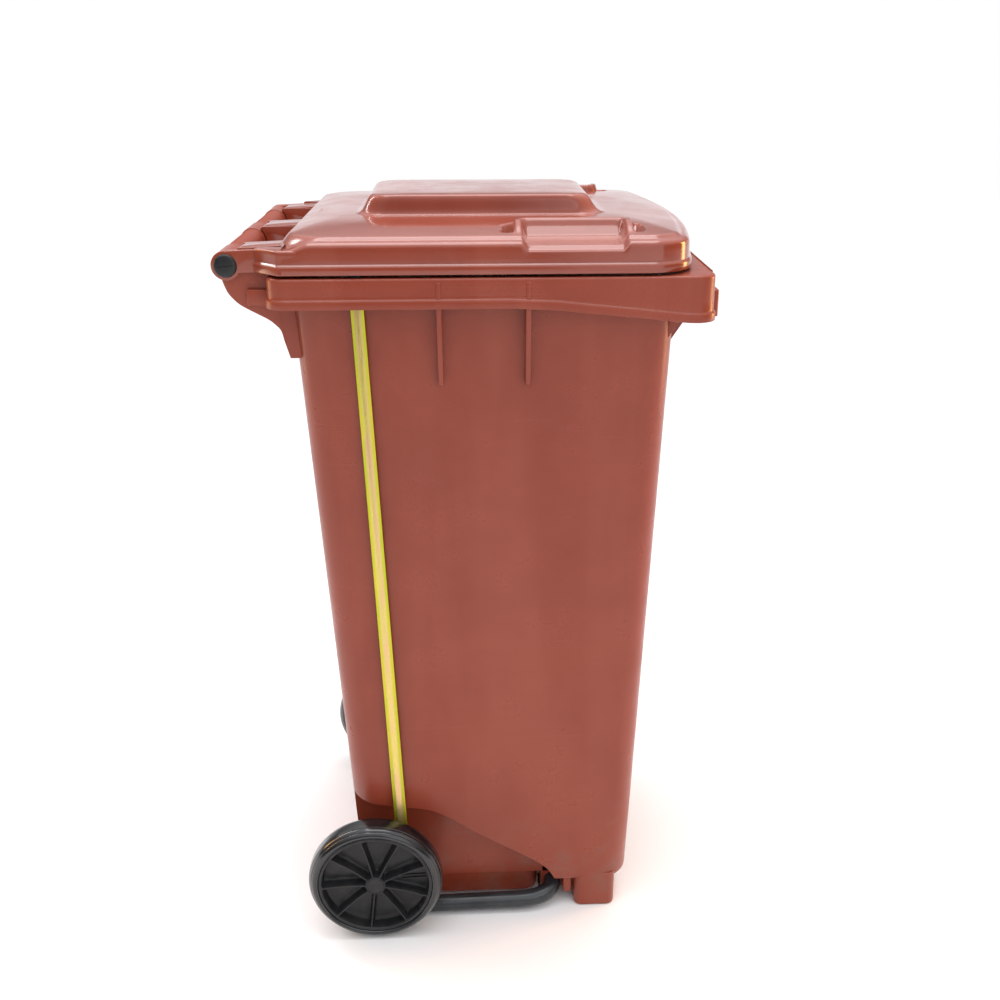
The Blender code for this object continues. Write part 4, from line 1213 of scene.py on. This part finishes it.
SKY_STOPS = ((0.0, (0.5, 0.49, 0.48)), (0.42, (0.97, 0.97, 1.0)), (0.7, (0.97, 0.97, 1.0)),
    (1.0, (1.02, 0.9, 0.76)))
SKY_RISE = (0.2, 0.85, 0.2, 1.75)         # direction Z from, to, strength from, to
BACKDROP_TOP = (0.13, 0.2, 0.75, 0.0)      # the same, for the low backdrop beyond the bin
BACKDROP_SIDE = (0.2, 0.6, 0.0, 1.0)        # direction Y from, to, share from, to
WHITE = (1.0, 1.0, 1.0, 1.0)


def build_sky():
    """A white studio: dim at the horizon, bright overhead, with a low bright backdrop beyond the
    bin, which the lid's flat top mirrors. The camera itself sees plain white."""
    world = bpy.data.worlds.new("studio")
    world.use_nodes = True
    sky = Wires(world.node_tree)
    nodes = world.node_tree.nodes
    direction = sky.node("SeparateXYZ")
    sky.link(sky.node("TexCoord").outputs["Generated"], direction.inputs["Vector"])

    def along(axis, *limits):
        return sky.band(direction.outputs[axis], *limits, "LINEAR")

    ramp = sky.node("ValToRGB")
    while len(ramp.color_ramp.elements) < len(SKY_STOPS):
        ramp.color_ramp.elements.new(0.5)
    for element, (place, colour) in zip(ramp.color_ramp.elements, SKY_STOPS):
        element.position = place
        element.color = (*colour, 1.0)
    sky.link(along("X", -1.0, 1.0, 0.0, 1.0), ramp.inputs["Fac"])
    backdrop = sky.times(along("Z", *BACKDROP_TOP), along("Y", *BACKDROP_SIDE))
    lit = nodes["Background"]
    sky.link(ramp.outputs["Color"], lit.inputs["Color"])
    sky.link(sky.sum(along("Z", *SKY_RISE), backdrop), lit.inputs["Strength"])
    choice = sky.node("MixShader")
    sky.link(sky.node("LightPath").outputs["Is Camera Ray"], choice.inputs["Fac"])
    sky.link(lit.outputs["Background"], choice.inputs[1])
    sky.link(sky.node("Background", {"Color": WHITE}).outputs["Background"], choice.inputs[2])
    sky.link(choice.outputs["Shader"], nodes["World Output"].inputs["Surface"])
    bpy.context.scene.world = world


def build_lights():
    build_sky()
    area_light("overhead", (0.0, 0.0, 2.4), (0.0, 0.0, 0.5), (1.4, 1.4), 22)
    area_light("camera_side", (1.1, -2.4, 1.3), (0.1, 0.0, 0.4), (1.8, 1.6), 9)
    area_light("front_side", (1.35, 0.2, 0.8), (0.25, -0.1, 0.6), (0.3, 0.9), 2.4, (1.0, 0.5, 0.16),
        75)
    area_light("rear_side", (-1.35, 0.2, 0.8), (-0.2, -0.1, 0.6), (0.3, 0.9), 1.2,
        (1.0, 0.55, 0.22), 75)
    area_light("rear_strip", (-1.5, 0.7, 1.7), (-0.1, 0.0, 0.9), (0.15, 1.3), 9)


def build_camera():
    data = bpy.data.cameras.new("camera")
    data.sensor_width = 36.0
    data.lens = 41.69
    data.shift_x = -0.0243
    data.shift_y = 0.0507
    camera = bpy.data.objects.new("camera", data)
    camera.location = (-0.003, -1.459, 1.092)
    camera.rotation_euler = (radians(90 - 23.26), 0.0, radians(-2.82))
    bpy.context.scene.collection.objects.link(camera)
    bpy.context.scene.camera = camera
    bpy.context.scene.view_settings.view_transform = "Standard"


build_shell()
build_rim()
build_handle()
build_lid()
build_pedal()
for sign, side in SIDES:
    build_pin(sign, side)
    build_wheel(sign, side)
    build_tyre(sign, side)
    build_rod(sign, side)
paint_carried_nodes()
build_stage()
build_lights()
build_camera()
